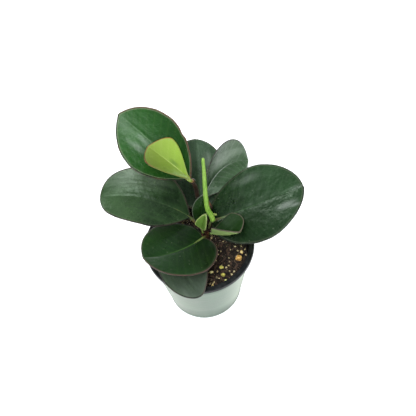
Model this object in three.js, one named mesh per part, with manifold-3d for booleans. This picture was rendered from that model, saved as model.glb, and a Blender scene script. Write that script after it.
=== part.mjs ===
// A potted peperomia: a small house plant with broad leathery leaves and a green flower spike, in a
// grey-black nursery pot that stands in a pale green cover pot.
// Millimetres, +Z up. The origin is the centre of the cover pot's underside, and the plant's
// front, with the leaf that hangs over the rim, faces -Y.

import * as THREE from "three";
import { mergeVertices } from "three/addons/utils/BufferGeometryUtils.js";
import Module from "manifold-3d";

const wasm = await Module();
wasm.setup();

// ---- driving dimensions ----

const clearance = 0.3; // gap between pieces that touch each other

const coverPot = {
  height: 66.4,
  baseRadius: 27.5,
  mouthRadius: 36.6,
  wall: 1.1,
  floor: 1.6,
  baseEdge: 0.8,
};

const nurseryPot = {
  height: 68,
  lipRadius: 38,
  lipDrop: 3.2,
  lipThickness: 0.9,
  lipRound: 0.7,
  wall: 0.9,
  floor: 1.2,
  drainRadius: 3,
  drainCircle: 14,
  drainCount: 4,
};

const potSides = 48;

const soil = {
  level: 59.8,
  fall: 0.02,
  edgeWidth: 0.6,
  lumpHeight: 0.55,
  lumpLength: 5.2,
  rings: 9,
  crumbs: 24,
  crumbSizes: [0.8, 1.7],
};

// Each pale granule: its place seen from above, and its three half sizes.
const granules = [
  { name: "granule_large", at: [25.5, -12.5], size: [2.6, 2.2, 2.4], color: 0xd9b27c },
  { name: "granule_rim", at: [28.3, -7.6], size: [1.3, 1.7, 1.2], color: 0xcfae7a },
  { name: "granule_front", at: [13.1, -23.6], size: [1.9, 1.5, 1.4], color: 0xc9c27a },
  { name: "granule_yellow", at: [12.6, -17.2], size: [2.1, 1.2, 1.3], color: 0xc3c070 },
  { name: "granule_low", at: [14.4, -28.0], size: [1.4, 1.2, 1.2], color: 0xddd795 },
  { name: "granule_left", at: [5.5, -20.2], size: [1.3, 1.1, 1.1], color: 0xe2d3ae },
  { name: "granule_right", at: [20.2, -22.9], size: [1.2, 1.2, 1.1], color: 0xd8c7a0 },
  { name: "granule_edge", at: [4.9, -30.2], size: [1.2, 1.0, 1.0], color: 0xd6cba6 },
  { name: "granule_grey", at: [8.6, -24.6], size: [1.2, 0.9, 1.0], color: 0xb9b4a4 },
];

// The main stem leans back from the soil to the top leaves, and a side shoot leaves it low down.
const stem = {
  path: [
    [5.8, 6.6, 52], [5.7, 7.4, 60], [3.9, 10.2, 68], [3.4, 16.8, 79], [2.9, 22, 89], [2.4, 23.6, 99],
    [0.7, 20.4, 112],
  ],
  radii: [2.0, 1.9, 1.75, 1.7, 1.6, 1.5, 1.4],
};
const shoot = {
  path: [[5.5, 8.0, 62], [8.6, 11.0, 69.5], [7.4, 15.6, 74.6], [11.0, 20.4, 78.5]],
  radii: [1.5, 1.35, 1.2, 1.1],
};
const joints = [
  { at: [3.9, 10.2, 68], radius: 2.15 },
  { at: [0.7, 20.4, 112.2], radius: 1.95 },
  { at: [8.6, 11.0, 69.5], radius: 1.75 },
  { at: [11.0, 20.4, 78.5], radius: 1.45 },
];

const spike = {
  path: [
    [11.2, 4.6, 84.5], [10.2, 7.2, 89], [8.4, 9, 93.5], [8, 13, 104.5], [8.7, 18.9, 120],
    [9.1, 22.4, 132.5],
  ],
  radii: [1.85, 1.75, 1.6, 1.4, 1.2, 1.0],
  stalk: [[8.6, 11.0, 69.5], [7.8, 7.7, 73.0], [8.7, 6.5, 79.0], [10.4, 6.4, 85.5]],
  stalkRadii: [0.9, 0.8, 0.8, 0.8],
};
const bud = {
  path: [[7.4, 15.6, 74.6], [11.4, 13.8, 79.0], [13.4, 11.4, 82.4], [13.7, 10.8, 83.6]],
  radii: [0.5, 0.6, 1.15, 0.5],
};

const tube = { sides: 8, stalkSides: 6, step: 4.5 };

const blade = {
  thickness: 1.3,
  edgeThickness: 0.7,
  stationLength: 4.6,
  fewestStations: 8,
  columns: 4,
  smallColumns: 2,
  smallHalfWidth: 10,
  spineSteps: 48,
  baseWidth: 1.1,
  tipWidth: 0.5,
  ribEnd: 0.62,
  ribDepth: 0.85,
  shoulderReach: 0.62,
  pointReach: 0.45,
};

// Angles are in degrees. A leaf leaves its base along heading (0 is +X, 90 is +Y) and climb, droops
// and swings over its length, and is rolled about its midrib; a positive roll lifts its left half.
// fold is how far each half rises from the midrib, at the base and at the tip, and cup is how much
// further it curls up by the margin. shoulder and point shape the outline's two ends, and widest is
// where between them it is broadest. stalk is the petiole's path from the stem.
const leaves = [
  {
    name: "leaf_upper_left",
    color: 0x2c6327,
    base: [-0.2, 22, 111.8], heading: 138.5, climb: 38, roll: -28.5,
    length: 64.5, halfWidth: 21.6, droop: 27, swing: -7, twist: -2.5,
    fold: [10.5, 5], cup: 21.5,
    widest: 0.52, shoulder: [0.12, 0.42], point: [0.05, 0.44],
    stalk: [[0.7, 20.4, 111.6]], stalkRadius: 1.3,
  },
  {
    name: "leaf_youngest",
    color: 0x9bb443,
    base: [-1, 17, 119.1], heading: 150, climb: 45.5, roll: 23.5,
    length: 34, halfWidth: 14.8, droop: 27.5, swing: -11, twist: -16.5,
    fold: [14.5, 4.5], cup: 15.5,
    widest: 0.72, shoulder: [0.1, 0.15], point: [0.03, 0.52],
    stalk: [[0.7, 20.4, 112.4]], stalkRadius: 1,
  },
  {
    name: "leaf_left",
    color: 0x2f4f35,
    base: [-3.7, 16.6, 74.4], heading: 158.5, climb: 44, roll: -8,
    length: 67, halfWidth: 22.6, droop: 56, swing: 15, twist: -1,
    fold: [9, 9], cup: 18.5,
    widest: 0.49, shoulder: [0.11, 0.36], point: [0.02, 0.72],
    stalk: [[3.9, 10.2, 68], [0.4, 13.8, 70.6]], stalkRadius: 1.3,
  },
  {
    name: "leaf_front_left",
    color: 0x24421f,
    base: [2.6, 2.2, 69.4], heading: 222, climb: 17.5, roll: -4,
    length: 49.5, halfWidth: 25.4, droop: -10, swing: -30.5, twist: 19,
    fold: [9, 9.5], cup: -6.5,
    widest: 0.41, shoulder: [-0.19, 0.5], point: [0.01, 0.75],
    stalk: [[5.6, 7.6, 61.8], [4.2, 4.6, 66.0]], stalkRadius: 1.25,
  },
  {
    name: "leaf_over_rim",
    color: 0x3b4f3b,
    base: [-9.5, 4.7, 64.8], heading: 246.5, climb: 13, roll: -4,
    length: 51, halfWidth: 17.2, droop: 8, swing: 62.5, twist: 0.5,
    fold: [8, 8], cup: 4.5,
    widest: 0.47, shoulder: [0.1, 0.35], point: [0, 0.49],
    stalk: [[5.5, 7.9, 62.4], [1.4, 8.6, 63.4], [-3.4, 7.6, 64.4]], stalkRadius: 1.15,
  },
  {
    name: "leaf_right",
    color: 0x27452b,
    base: [10.1, 12.2, 72.4], heading: 1, climb: 22, roll: 10,
    length: 69, halfWidth: 28.7, droop: -4, swing: 1, twist: -8,
    fold: [1, 7.5], cup: 4,
    widest: 0.53, shoulder: [-0.06, 0.56], point: [0, 0.53],
    stalk: [[8.6, 11.0, 69.5]], stalkRadius: 1.3,
  },
  {
    name: "leaf_back_right",
    color: 0x4b5f54,
    base: [7.3, 30, 76], heading: 64.5, climb: 31, roll: 51.5,
    length: 52.5, halfWidth: 20.3, droop: 69, swing: -50, twist: -17.5,
    fold: [35, 6], cup: 33.5,
    widest: 0.59, shoulder: [0.11, 0.32], point: [0.05, 0.45],
    stalk: [[11.0, 20.4, 78.5], [9.8, 26.0, 77.6]], stalkRadius: 1.1,
  },
  {
    name: "leaf_back",
    color: 0x35504a,
    base: [4.5, 27.5, 70.1], heading: 89.5, climb: 20, roll: 14,
    length: 52.5, halfWidth: 21, droop: 6, swing: -6, twist: -3,
    fold: [6, 5], cup: 5,
    widest: 0.5, shoulder: [-0.14, 0.66], point: [0.01, 0.58],
    stalk: [[8.6, 11.0, 69.5], [6.6, 19.0, 69.2]], stalkRadius: 1.1,
  },
  {
    name: "leaf_folded",
    color: 0x25481f,
    base: [8.4, 1.1, 76.9], heading: -24, climb: 8, roll: -34,
    length: 24, halfWidth: 17.4, droop: -37, swing: -0.5, twist: -1.5,
    fold: [39.5, 27.5], cup: 4.5,
    widest: 0.47, shoulder: [0.13, 0.31], point: [-0.02, 0.74],
    stalk: [[6.6, 8.9, 64.7], [8.2, 5.0, 68.5]], stalkRadius: 0.9,
  },
  {
    name: "leaf_centre",
    color: 0x24421a,
    base: [2.4, 8.8, 71], heading: 69.5, climb: 68, roll: -6,
    length: 28, halfWidth: 7, droop: 8, swing: -0.5, twist: -12,
    fold: [14.5, 21], cup: 17,
    widest: 0.56, shoulder: [0.1, 0.45], point: [0.05, 0.35],
    stalk: [[3.9, 10.2, 68]], stalkRadius: 0.8,
  },
  {
    name: "leaf_unfolding",
    color: 0x7fa04a,
    base: [2.8, 5.3, 76.4], heading: 40.5, climb: 58.5, roll: 8,
    length: 14, halfWidth: 6.4, droop: -17.5, swing: 3, twist: 1,
    fold: [40.5, 45.5], cup: 11,
    widest: 0.35, shoulder: [0.12, 0.58], point: [0.03, 0.45],
    stalk: [[4.5, 9.4, 65.8], [3.2, 5.9, 70.4]], stalkRadius: 0.65,
  },
];

// ---- shared tools ----

const radians = THREE.MathUtils.degToRad;
const { lerp, clamp } = THREE.MathUtils;

// Repeatable draws between 0 and 1.
function makeDraw(seed) {
  let state = seed;
  return () => {
    state = (state * 16807) % 2147483647;
    return state / 2147483647;
  };
}

// A closed geometry as a solid that can be joined and cut.
function solidOf(geometry) {
  const plain = geometry.clone();
  plain.deleteAttribute("normal");
  plain.deleteAttribute("uv");
  const welded = mergeVertices(plain, 1e-4);
  return new wasm.Manifold(new wasm.Mesh({
    numProp: 3,
    vertProperties: new Float32Array(welded.attributes.position.array),
    triVerts: new Uint32Array(welded.index.array),
  }));
}

// A named mesh of a solid, with its geometry about the point that the mesh is placed at.
function pieceOf(name, solid, material, place = [0, 0, 0]) {
  const { vertProperties, triVerts } = solid.getMesh();
  const geometry = new THREE.BufferGeometry();
  geometry.setAttribute("position", new THREE.BufferAttribute(new Float32Array(vertProperties), 3));
  geometry.setIndex(new THREE.BufferAttribute(new Uint32Array(triVerts), 1));
  geometry.translate(-place[0], -place[1], -place[2]);
  geometry.computeVertexNormals();
  const mesh = new THREE.Mesh(geometry, material);
  mesh.name = name;
  mesh.position.set(...place);
  return mesh;
}

// Closes a stack of rings into one solid. A ring's first half is its top, from left to right, and its
// second half is its underside, from right to left. Both are split along the same diagonals, so
// that a thin curved blade keeps its thickness.
function loft(rings) {
  const around = rings[0].length;
  const half = around / 2;
  const faces = [];
  for (let i = 0; i + 1 < rings.length; i++) {
    for (let j = 0; j < around; j++) {
      const next = (j + 1) % around;
      const [a, b] = [i * around + j, i * around + next];
      const [c, d] = [b + around, a + around];
      faces.push(...(j < half ? [a, b, c, a, c, d] : [a, b, d, b, c, d]));
    }
  }
  const last = (rings.length - 1) * around;
  for (let j = 0; j + 1 < half; j++) {
    const [under, nextUnder] = [around - 1 - j, around - 2 - j];
    faces.push(j, under, nextUnder, j, nextUnder, j + 1);
    faces.push(last + j, last + j + 1, last + nextUnder, last + j, last + nextUnder, last + under);
  }
  const geometry = new THREE.BufferGeometry().setFromPoints(rings.flat());
  geometry.setIndex(faces);
  return solidOf(geometry);
}

// The value part of the way along a list of evenly spaced values.
function along(values, part) {
  const place = part * (values.length - 1);
  const before = Math.min(Math.floor(place), values.length - 2);
  return lerp(values[before], values[before + 1], place - before);
}

// A round tube through points, with its radius going through radii. grow makes it fatter and longer.
function taperedTube(points, radii, { grow = 0, sides = tube.sides } = {}) {
  const vectors = points.map((point) => new THREE.Vector3(...point));
  const curve = new THREE.CatmullRomCurve3(vectors, false, "centripetal");
  const steps = Math.max(3, Math.round(curve.getLength() / tube.step));
  const { tangents, normals, binormals } = curve.computeFrenetFrames(steps);
  const rings = [];
  for (let i = 0; i <= steps; i++) {
    const centre = curve.getPointAt(i / steps);
    if (i === 0) centre.addScaledVector(tangents[i], -grow);
    if (i === steps) centre.addScaledVector(tangents[i], grow);
    const radius = along(radii, i / steps) + grow;
    const ring = [];
    for (let j = 0; j < sides; j++) {
      const turn = (j / sides) * 2 * Math.PI;
      ring.push(centre.clone()
        .addScaledVector(normals[i], radius * Math.cos(turn))
        .addScaledVector(binormals[i], radius * Math.sin(turn)));
    }
    rings.push(ring);
  }
  return loft(rings);
}

function ball(at, radius, detail = 1) {
  return solidOf(new THREE.IcosahedronGeometry(radius, detail).translate(...at));
}

// ---- pots ----

const coverRadius = (z) => lerp(coverPot.baseRadius, coverPot.mouthRadius, z / coverPot.height);
const nurseryRadius = (z) => coverRadius(z) - coverPot.wall - clearance;
const soilRadius = (z) => nurseryRadius(z) - nurseryPot.wall - clearance;

function latheSolid(profile) {
  const points = profile.map(([radius, z]) => new THREE.Vector2(radius, z));
  return solidOf(new THREE.LatheGeometry(points, potSides).rotateX(Math.PI / 2).rotateZ(Math.PI));
}

function makeCoverPot() {
  const { height, wall, floor, baseEdge } = coverPot;
  return latheSolid([
    [0, 0],
    [coverRadius(0) - baseEdge, 0],
    [coverRadius(baseEdge), baseEdge],
    [coverRadius(height), height],
    [coverRadius(height) - wall, height],
    [coverRadius(floor) - wall, floor],
    [0, floor],
  ]);
}

function makeNurseryPot() {
  const { height, lipRadius, lipDrop, lipThickness, lipRound, wall, floor } = nurseryPot;
  const bottom = coverPot.floor + clearance;
  const underLip = height - lipThickness;
  const shell = latheSolid([
    [0, bottom],
    [nurseryRadius(bottom), bottom],
    [nurseryRadius(underLip), underLip],
    [lipRadius - lipThickness, underLip],
    [lipRadius - lipThickness, height - lipDrop],
    [lipRadius, height - lipDrop],
    [lipRadius, height - lipRound],
    [lipRadius - lipRound, height],
    [nurseryRadius(height) - wall + lipRound, height],
    [nurseryRadius(height) - wall, height - lipRound],
    [nurseryRadius(bottom + floor) - wall, bottom + floor],
    [0, bottom + floor],
  ]);
  const holes = [];
  for (let k = 0; k < nurseryPot.drainCount; k++) {
    const turn = ((k + 0.5) / nurseryPot.drainCount) * 2 * Math.PI;
    const hole = new THREE.CylinderGeometry(nurseryPot.drainRadius, nurseryPot.drainRadius, 4 * floor, 16);
    hole.rotateX(Math.PI / 2);
    hole.translate(nurseryPot.drainCircle * Math.cos(turn), nurseryPot.drainCircle * Math.sin(turn), bottom);
    holes.push(solidOf(hole));
  }
  return shell.subtract(wasm.Manifold.union(holes));
}

// ---- soil and what lies on it ----

// The lumpy height of the soil's surface, made of crossing waves. It falls a little to the pot's wall.
function soilHeight(x, y) {
  const wave = (2 * Math.PI) / soil.lumpLength;
  const lumps = Math.sin(wave * x + 1.3 * Math.sin(0.31 * y))
    * Math.cos(0.87 * wave * y + 1.1 * Math.sin(0.27 * x))
    + 0.6 * Math.sin(0.43 * wave * (x + y) + 0.8);
  return soil.level + soil.lumpHeight * lumps - soil.fall * Math.hypot(x, y);
}

function makeSoilBody() {
  const bottom = coverPot.floor + nurseryPot.floor + 2 * clearance;
  const edge = soilRadius(soil.level);
  const profile = [[0, bottom], [soilRadius(bottom), bottom], [edge, soil.level]];
  for (let k = soil.rings; k >= 0; k--) {
    profile.push([(edge - soil.edgeWidth) * (k / soil.rings), soil.level]);
  }
  const points = profile.map(([radius, z]) => new THREE.Vector2(radius, z));
  const geometry = new THREE.LatheGeometry(points, potSides).rotateX(Math.PI / 2).rotateZ(Math.PI);
  const place = geometry.attributes.position;
  for (let i = 0; i < place.count; i++) {
    const [x, y, z] = [place.getX(i), place.getY(i), place.getZ(i)];
    const onTop = z > soil.level / 2 && Math.hypot(x, y) < edge - soil.edgeWidth / 2;
    if (onTop) place.setZ(i, soilHeight(x, y));
  }
  return solidOf(geometry);
}

// An angular chip of the given half sizes, its corners pushed in and out by the draw.
function makeChip(size, draw, detail) {
  const geometry = new THREE.IcosahedronGeometry(1, detail);
  geometry.deleteAttribute("normal");
  geometry.deleteAttribute("uv");
  const chip = mergeVertices(geometry, 1e-4);
  const place = chip.attributes.position;
  for (let i = 0; i < place.count; i++) {
    const reach = lerp(0.86, 1.1, draw());
    place.setXYZ(i, place.getX(i) * reach, place.getY(i) * reach, place.getZ(i) * reach);
  }
  return chip.scale(...size).rotateZ(2 * Math.PI * draw());
}

function makeCrumbs() {
  const draw = makeDraw(41);
  const crumbs = [];
  for (let k = 0; k < soil.crumbs; k++) {
    const distance = Math.sqrt(lerp(0.02, 0.84, draw())) * soilRadius(soil.level);
    const turn = 2 * Math.PI * draw();
    const [x, y] = [distance * Math.cos(turn), distance * Math.sin(turn)];
    const size = lerp(...soil.crumbSizes, draw() ** 2);
    const crumb = makeChip([size, size * lerp(0.6, 1, draw()), size * 0.75], draw, 0);
    crumbs.push(solidOf(crumb.translate(x, y, soilHeight(x, y) + 0.1 * size)));
  }
  return wasm.Manifold.union(crumbs);
}

// Each granule lies in a shallow dent of its own shape in the soil.
function makeGranules() {
  const draw = makeDraw(97);
  return granules.map(({ name, at: [x, y], size, color }) => {
    const place = [x, y, soilHeight(x, y) + 0.35 * size[2]];
    const chip = makeChip(size, draw, 1);
    const spread = size.map((half) => (half + 1.7 * clearance) / half);
    const dent = chip.clone().scale(...spread);
    return {
      name,
      color,
      place,
      solid: solidOf(chip.translate(...place)),
      dent: solidOf(dent.translate(...place)),
    };
  });
}

// ---- stems, spike and bud ----

function makeStems(grow = 0) {
  return wasm.Manifold.union([
    taperedTube(stem.path, stem.radii, { grow }),
    taperedTube(shoot.path, shoot.radii, { grow }),
    ...joints.map(({ at, radius }) => ball(at, radius + grow)),
  ]);
}

function makeSpike() {
  return taperedTube(spike.path, spike.radii).add(taperedTube(spike.stalk, spike.stalkRadii));
}

// ---- leaves ----

// The directions of a leaf part of the way along its midrib: ahead, to its left, and up from it.
function leafAxes(leaf, part) {
  const climb = radians(leaf.climb - leaf.droop * part);
  const heading = radians(leaf.heading + leaf.swing * part);
  const roll = radians(leaf.roll + leaf.twist * part);
  const ahead = new THREE.Vector3(
    Math.cos(climb) * Math.cos(heading),
    Math.cos(climb) * Math.sin(heading),
    Math.sin(climb),
  );
  const left = new THREE.Vector3(-Math.sin(heading), Math.cos(heading), 0).applyAxisAngle(ahead, roll);
  const up = new THREE.Vector3().crossVectors(ahead, left);
  return { ahead, left, up };
}

// A function that gives the point of the leaf at a distance from its base along the midrib, a
// distance to the left of it, and a height above its middle surface.
function leafSurface(leaf) {
  const step = leaf.length / blade.spineSteps;
  const spine = [new THREE.Vector3(...leaf.base)];
  for (let k = 0; k < blade.spineSteps; k++) {
    const { ahead } = leafAxes(leaf, (k + 0.5) / blade.spineSteps);
    spine.push(spine[k].clone().addScaledVector(ahead, step));
  }
  return (distance, leftward, height) => {
    const part = clamp(distance / leaf.length, 0, 1);
    const { ahead, left, up } = leafAxes(leaf, part);
    const k = Math.min(Math.floor(part * blade.spineSteps), blade.spineSteps - 1);
    const point = spine[k].clone().lerp(spine[k + 1], part * blade.spineSteps - k);
    point.addScaledVector(ahead, Math.min(distance, 0));
    const rise = radians(lerp(...leaf.fold, part));
    const curl = radians(leaf.cup) / leaf.halfWidth;
    const slope = rise + curl * Math.abs(leftward);
    const side = Math.sign(leftward);
    const across = (Math.sin(slope) - Math.sin(rise)) / curl - height * Math.sin(slope);
    const lift = (Math.cos(rise) - Math.cos(slope)) / curl + height * (side === 0 ? 1 : Math.cos(slope));
    return point.addScaledVector(left, side * across).addScaledVector(up, lift);
  };
}

// The right half of a leaf's outline, flat: how far along it is and how far from the midrib.
function leafOutline({ length, halfWidth, widest, shoulder, point }) {
  const outline = new THREE.CurvePath();
  const base = new THREE.Vector2(0, 0);
  const broadest = new THREE.Vector2(widest * length, halfWidth);
  outline.add(new THREE.CubicBezierCurve(
    base,
    new THREE.Vector2(shoulder[0] * length, shoulder[1] * halfWidth),
    new THREE.Vector2(blade.shoulderReach * widest * length, halfWidth),
    broadest,
  ));
  outline.add(new THREE.CubicBezierCurve(
    broadest,
    new THREE.Vector2(lerp(widest, 1, blade.pointReach) * length, halfWidth),
    new THREE.Vector2((1 - point[0]) * length, point[1] * halfWidth),
    new THREE.Vector2(length, 0),
  ));
  return (part) => outline.curves[part < 0.5 ? 0 : 1].getPoint(part < 0.5 ? 2 * part : 2 * part - 1);
}

function makeBlade(leaf) {
  const surface = leafSurface(leaf);
  const outline = leafOutline(leaf);
  const stations = Math.max(blade.fewestStations, Math.round(leaf.length / blade.stationLength));
  const columns = leaf.halfWidth < blade.smallHalfWidth ? blade.smallColumns : blade.columns;
  const rings = [];
  for (let k = 0; k <= stations; k++) {
    const part = k / stations;
    const margin = outline(part);
    const halfWidth = Math.max(margin.y, lerp(blade.baseWidth, blade.tipWidth, part));
    const top = [];
    const underside = [];
    for (let j = -columns; j <= columns; j++) {
      const outward = -j / columns;
      const distance = lerp(leaf.length * part, margin.x, Math.abs(outward));
      const height = lerp(blade.thickness, blade.edgeThickness, outward ** 2) / 2;
      top.push(surface(distance, halfWidth * outward, height));
      underside.unshift(surface(distance, halfWidth * outward, -height));
    }
    rings.push([...top, ...underside]);
  }
  return loft(rings);
}

// The petiole runs from the stem to the blade and on beneath it as the midrib.
function makePetiole(leaf) {
  const surface = leafSurface(leaf);
  const ribPart = (part) => surface(part * leaf.length, 0, -blade.ribDepth * lerp(0.5, 1, part)).toArray();
  const { stalkRadius } = leaf;
  return taperedTube(
    [...leaf.stalk, ribPart(0), ribPart(0.2), ribPart(0.4), ribPart(blade.ribEnd)],
    [stalkRadius, stalkRadius * 0.85, stalkRadius * 0.6, 0.4],
    { sides: tube.stalkSides },
  );
}

function makeLeaf(leaf, cutter) {
  return makeBlade(leaf).add(makePetiole(leaf)).subtract(cutter);
}

// ---- materials ----

const finish = (color, roughness) => new THREE.MeshStandardMaterial({ color, roughness, metalness: 0 });
const coverPlastic = finish(0xa3b4a8, 0.55);
const nurseryPlastic = finish(0x2b2d33, 0.45);
const darkSoil = finish(0x33261d, 0.95);
const redStem = finish(0x5f3a2a, 0.6);
const greenSpike = finish(0xa0c864, 0.5);
const budGreen = finish(0xb7cf6a, 0.5);
const leafRoughness = 0.35;
const granuleRoughness = 0.85;

// ---- the plant in its pots ----

const stemSolid = makeStems();
const stemCutter = makeStems(clearance);
const granuleParts = makeGranules();

const pots = new THREE.Group();
pots.add(pieceOf("cover_pot", makeCoverPot(), coverPlastic));
pots.add(pieceOf("nursery_pot", makeNurseryPot(), nurseryPlastic));

const ground = new THREE.Group();
const dents = wasm.Manifold.union(granuleParts.map(({ dent }) => dent));
const cutSoil = makeSoilBody().add(makeCrumbs()).subtract(dents).subtract(stemCutter);
const [soilSolid] = cutSoil.decompose().sort((one, other) => other.volume() - one.volume());
ground.add(pieceOf("soil", soilSolid, darkSoil));
for (const { name, solid, color, place } of granuleParts) {
  ground.add(pieceOf(name, solid, finish(color, granuleRoughness), place));
}

const plant = new THREE.Group();
plant.add(pieceOf("stem", stemSolid, redStem, stem.path[1]));
plant.add(pieceOf("flower_spike", makeSpike().subtract(stemCutter), greenSpike, spike.path[0]));
plant.add(pieceOf("bud", taperedTube(bud.path, bud.radii).subtract(stemCutter), budGreen, bud.path[0]));
for (const leaf of leaves) {
  plant.add(pieceOf(leaf.name, makeLeaf(leaf, stemCutter), finish(leaf.color, leafRoughness), leaf.base));
}

const pottedPeperomia = new THREE.Group();
pottedPeperomia.add(pots, ground, plant);

export default pottedPeperomia;
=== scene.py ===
import math
import random

import bpy
from mathutils import Matrix, Vector, noise


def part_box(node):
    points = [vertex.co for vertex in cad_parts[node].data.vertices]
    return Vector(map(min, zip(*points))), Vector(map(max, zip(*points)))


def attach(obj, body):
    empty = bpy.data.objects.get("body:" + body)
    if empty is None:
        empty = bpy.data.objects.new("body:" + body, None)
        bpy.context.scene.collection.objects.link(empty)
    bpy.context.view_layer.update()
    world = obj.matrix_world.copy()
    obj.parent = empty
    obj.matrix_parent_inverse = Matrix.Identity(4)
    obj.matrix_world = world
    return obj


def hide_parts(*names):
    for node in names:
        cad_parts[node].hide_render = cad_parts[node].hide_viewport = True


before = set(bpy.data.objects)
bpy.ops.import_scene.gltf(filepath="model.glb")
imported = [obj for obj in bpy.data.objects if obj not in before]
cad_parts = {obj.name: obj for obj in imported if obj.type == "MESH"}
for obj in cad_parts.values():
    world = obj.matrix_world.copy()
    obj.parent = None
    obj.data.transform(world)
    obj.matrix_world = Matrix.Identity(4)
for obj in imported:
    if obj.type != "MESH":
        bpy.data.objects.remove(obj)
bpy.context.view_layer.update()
print("frame loaded:", len(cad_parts), "nodes")

# the photo's camera, and a plain studio

camera = {
    "place": (0.0, -0.210, 0.428),
    "pitchDown": 56.6,  # degrees below level
    "turnRight": 2.25,
    "tilt": -5.7,
    "lens": 51.92,
    "sensor": 36.0,
}

room = {
    "horizon": (0.20, 0.21, 0.225),
    "zenith": (0.045, 0.047, 0.051),
    "skyBlend": (0.05, 0.55),  # heights on the sky between which one color turns into the other
    "lampAim": (0, 0.01, 0.085),
    "lampDistance": 1.7,
    "floorSize": 6.0,
    "floorColor": (0.93, 0.935, 0.95),
    "floorRoughness": 0.75,
    "floorGlow": 0.12,  # its own brightness
    "floorMirrored": 0.6,  # the same where it is mirrored
    "floorSeen": 0.4,  # what the camera sees on top of that
}

# soft bright areas of the studio's walls and ceiling: azimuth and elevation of the middle of each,
# the angles where it starts to fade and is gone, and its color times its brightness
glows = {
    "ceiling": {"azimuth": 222, "elevation": 63, "inner": 12, "outer": 36, "color": (3.3, 3.45, 3.45)},
    "ceilingLamp": {"azimuth": -114, "elevation": 67, "inner": 3, "outer": 11, "color": (7.6, 7.5, 8.1)},
    "backWall": {"azimuth": 86, "elevation": 44, "inner": 14, "outer": 42, "color": (0.68, 0.71, 0.71)},
    "leftWall": {"azimuth": 205, "elevation": 28, "inner": 10, "outer": 45, "color": (0.4, 0.42, 0.44)},
    "window": {"azimuth": 128.5, "elevation": 33.5, "inner": 2, "outer": 6.5, "color": (13.0, 13.4, 13.4)},
}

# big lamps that aren't mirrored in the leaves
lamps = {
    "right": {"azimuth": 5, "elevation": 42, "size": 1.1, "power": 9, "color": (1, 0.99, 0.97)},
    "front": {"azimuth": -78, "elevation": 24, "size": 0.9, "power": 9, "color": (1, 1, 0.99)},
    "overhead": {"azimuth": 90, "elevation": 76, "size": 1.2, "power": 6, "color": (1, 1, 1)},
}


def towards(azimuth, elevation):
    turn, rise = math.radians(azimuth), math.radians(elevation)
    return Vector((math.cos(rise) * math.cos(turn), math.cos(rise) * math.sin(turn), math.sin(rise)))


def addCamera():
    lensData = bpy.data.cameras.new("photoCamera")
    lensData.lens = camera["lens"]
    lensData.sensor_width = camera["sensor"]
    lensData.dof.use_dof = False
    photoCamera = bpy.data.objects.new("photoCamera", lensData)
    bpy.context.collection.objects.link(photoCamera)
    turn = Matrix.Rotation(math.radians(-camera["turnRight"]), 4, "Z")
    pitch = Matrix.Rotation(math.radians(90 - camera["pitchDown"]), 4, "X")
    tilt = Matrix.Rotation(math.radians(camera["tilt"]), 4, "Z")
    photoCamera.matrix_world = Matrix.Translation(camera["place"]) @ turn @ pitch @ tilt
    bpy.context.scene.camera = photoCamera


def addSky():
    world = bpy.data.worlds.new("studio")
    bpy.context.scene.world = world
    world.use_nodes = True
    tree = world.node_tree
    tree.nodes.clear()
    place = addNode(tree, "TexCoord").outputs["Generated"]
    height = fade(tree, splitVector(tree, place)["Z"], *room["skyBlend"])
    color = mixColor(tree, height, room["horizon"], room["zenith"])
    for values in glows.values():
        facing = addNode(tree, "VectorMath", operation="DOT_PRODUCT", Vector=place)
        facing.inputs[1].default_value = towards(values["azimuth"], values["elevation"])
        outer, inner = (math.cos(math.radians(values[key])) for key in ("outer", "inner"))
        share = fade(tree, facing.outputs["Value"], outer, inner)
        color = mixColor(tree, share, color, values["color"], "ADD")
    glow = addNode(tree, "Background", Color=color)
    addNode(tree, "OutputWorld", Surface=glow.outputs[0])


def addLamp(name, values):
    light = bpy.data.lights.new(name, "AREA")
    light.shape = "SQUARE"
    light.size = values["size"]
    light.energy = values["power"]
    light.color = values["color"]
    lamp = bpy.data.objects.new(name, light)
    bpy.context.collection.objects.link(lamp)
    aim = towards(values["azimuth"], values["elevation"])
    lamp.location = Vector(room["lampAim"]) + aim * room["lampDistance"]
    lamp.rotation_euler = aim.to_track_quat("Z", "Y").to_euler()
    lamp.visible_glossy = False


def addFloor():
    clearSelection()
    bpy.ops.mesh.primitive_plane_add(size=room["floorSize"])
    floor = bpy.context.object
    floor.name = floor.data.name = "floor"
    material, tree = newMaterial("paleFloor", room["floorColor"], room["floorRoughness"])
    ray = addNode(tree, "LightPath").outputs
    mirrored = spread(tree, ray["Is Glossy Ray"], 0, 1, room["floorGlow"], room["floorMirrored"])
    glow = useMath(tree, "ADD", mirrored, times(tree, ray["Is Camera Ray"], room["floorSeen"]))
    setShader(material, Emission_Color=(*room["floorColor"], 1), Emission_Strength=glow)
    floor.data.materials.append(material)


# modelling helpers


def clearSelection():
    if bpy.context.object and bpy.context.object.mode != "OBJECT":
        bpy.ops.object.mode_set(mode="OBJECT")
    bpy.ops.object.select_all(action="DESELECT")


def pick(piece):
    clearSelection()
    piece.select_set(True)
    bpy.context.view_layer.objects.active = piece


def lerp(a, b, part):
    return a + (b - a) * part


def smooth(low, high, value):
    part = min(max((value - low) / (high - low), 0.0), 1.0)
    return part * part * (3 - 2 * part)


def settle(piece, name, slotName, *nodes):
    # names a finished piece, puts its place in its mesh and hangs it on the body
    piece.name = piece.data.name = name
    pick(piece)
    bpy.ops.object.transform_apply(location=True, rotation=True, scale=True)
    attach(piece, "root")
    if nodes:
        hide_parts(*nodes)


def applyModifier(piece, kind, **settings):
    modifier = piece.modifiers.new(kind.lower(), kind)
    for key, value in settings.items():
        setattr(modifier, key, value)
    bpy.context.view_layer.objects.active = piece
    bpy.ops.object.modifier_apply(modifier=modifier.name)


def joined(pieces):
    clearSelection()
    for piece in pieces:
        piece.select_set(True)
    bpy.context.view_layer.objects.active = pieces[0]
    bpy.ops.object.join()
    return pieces[0]


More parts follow.
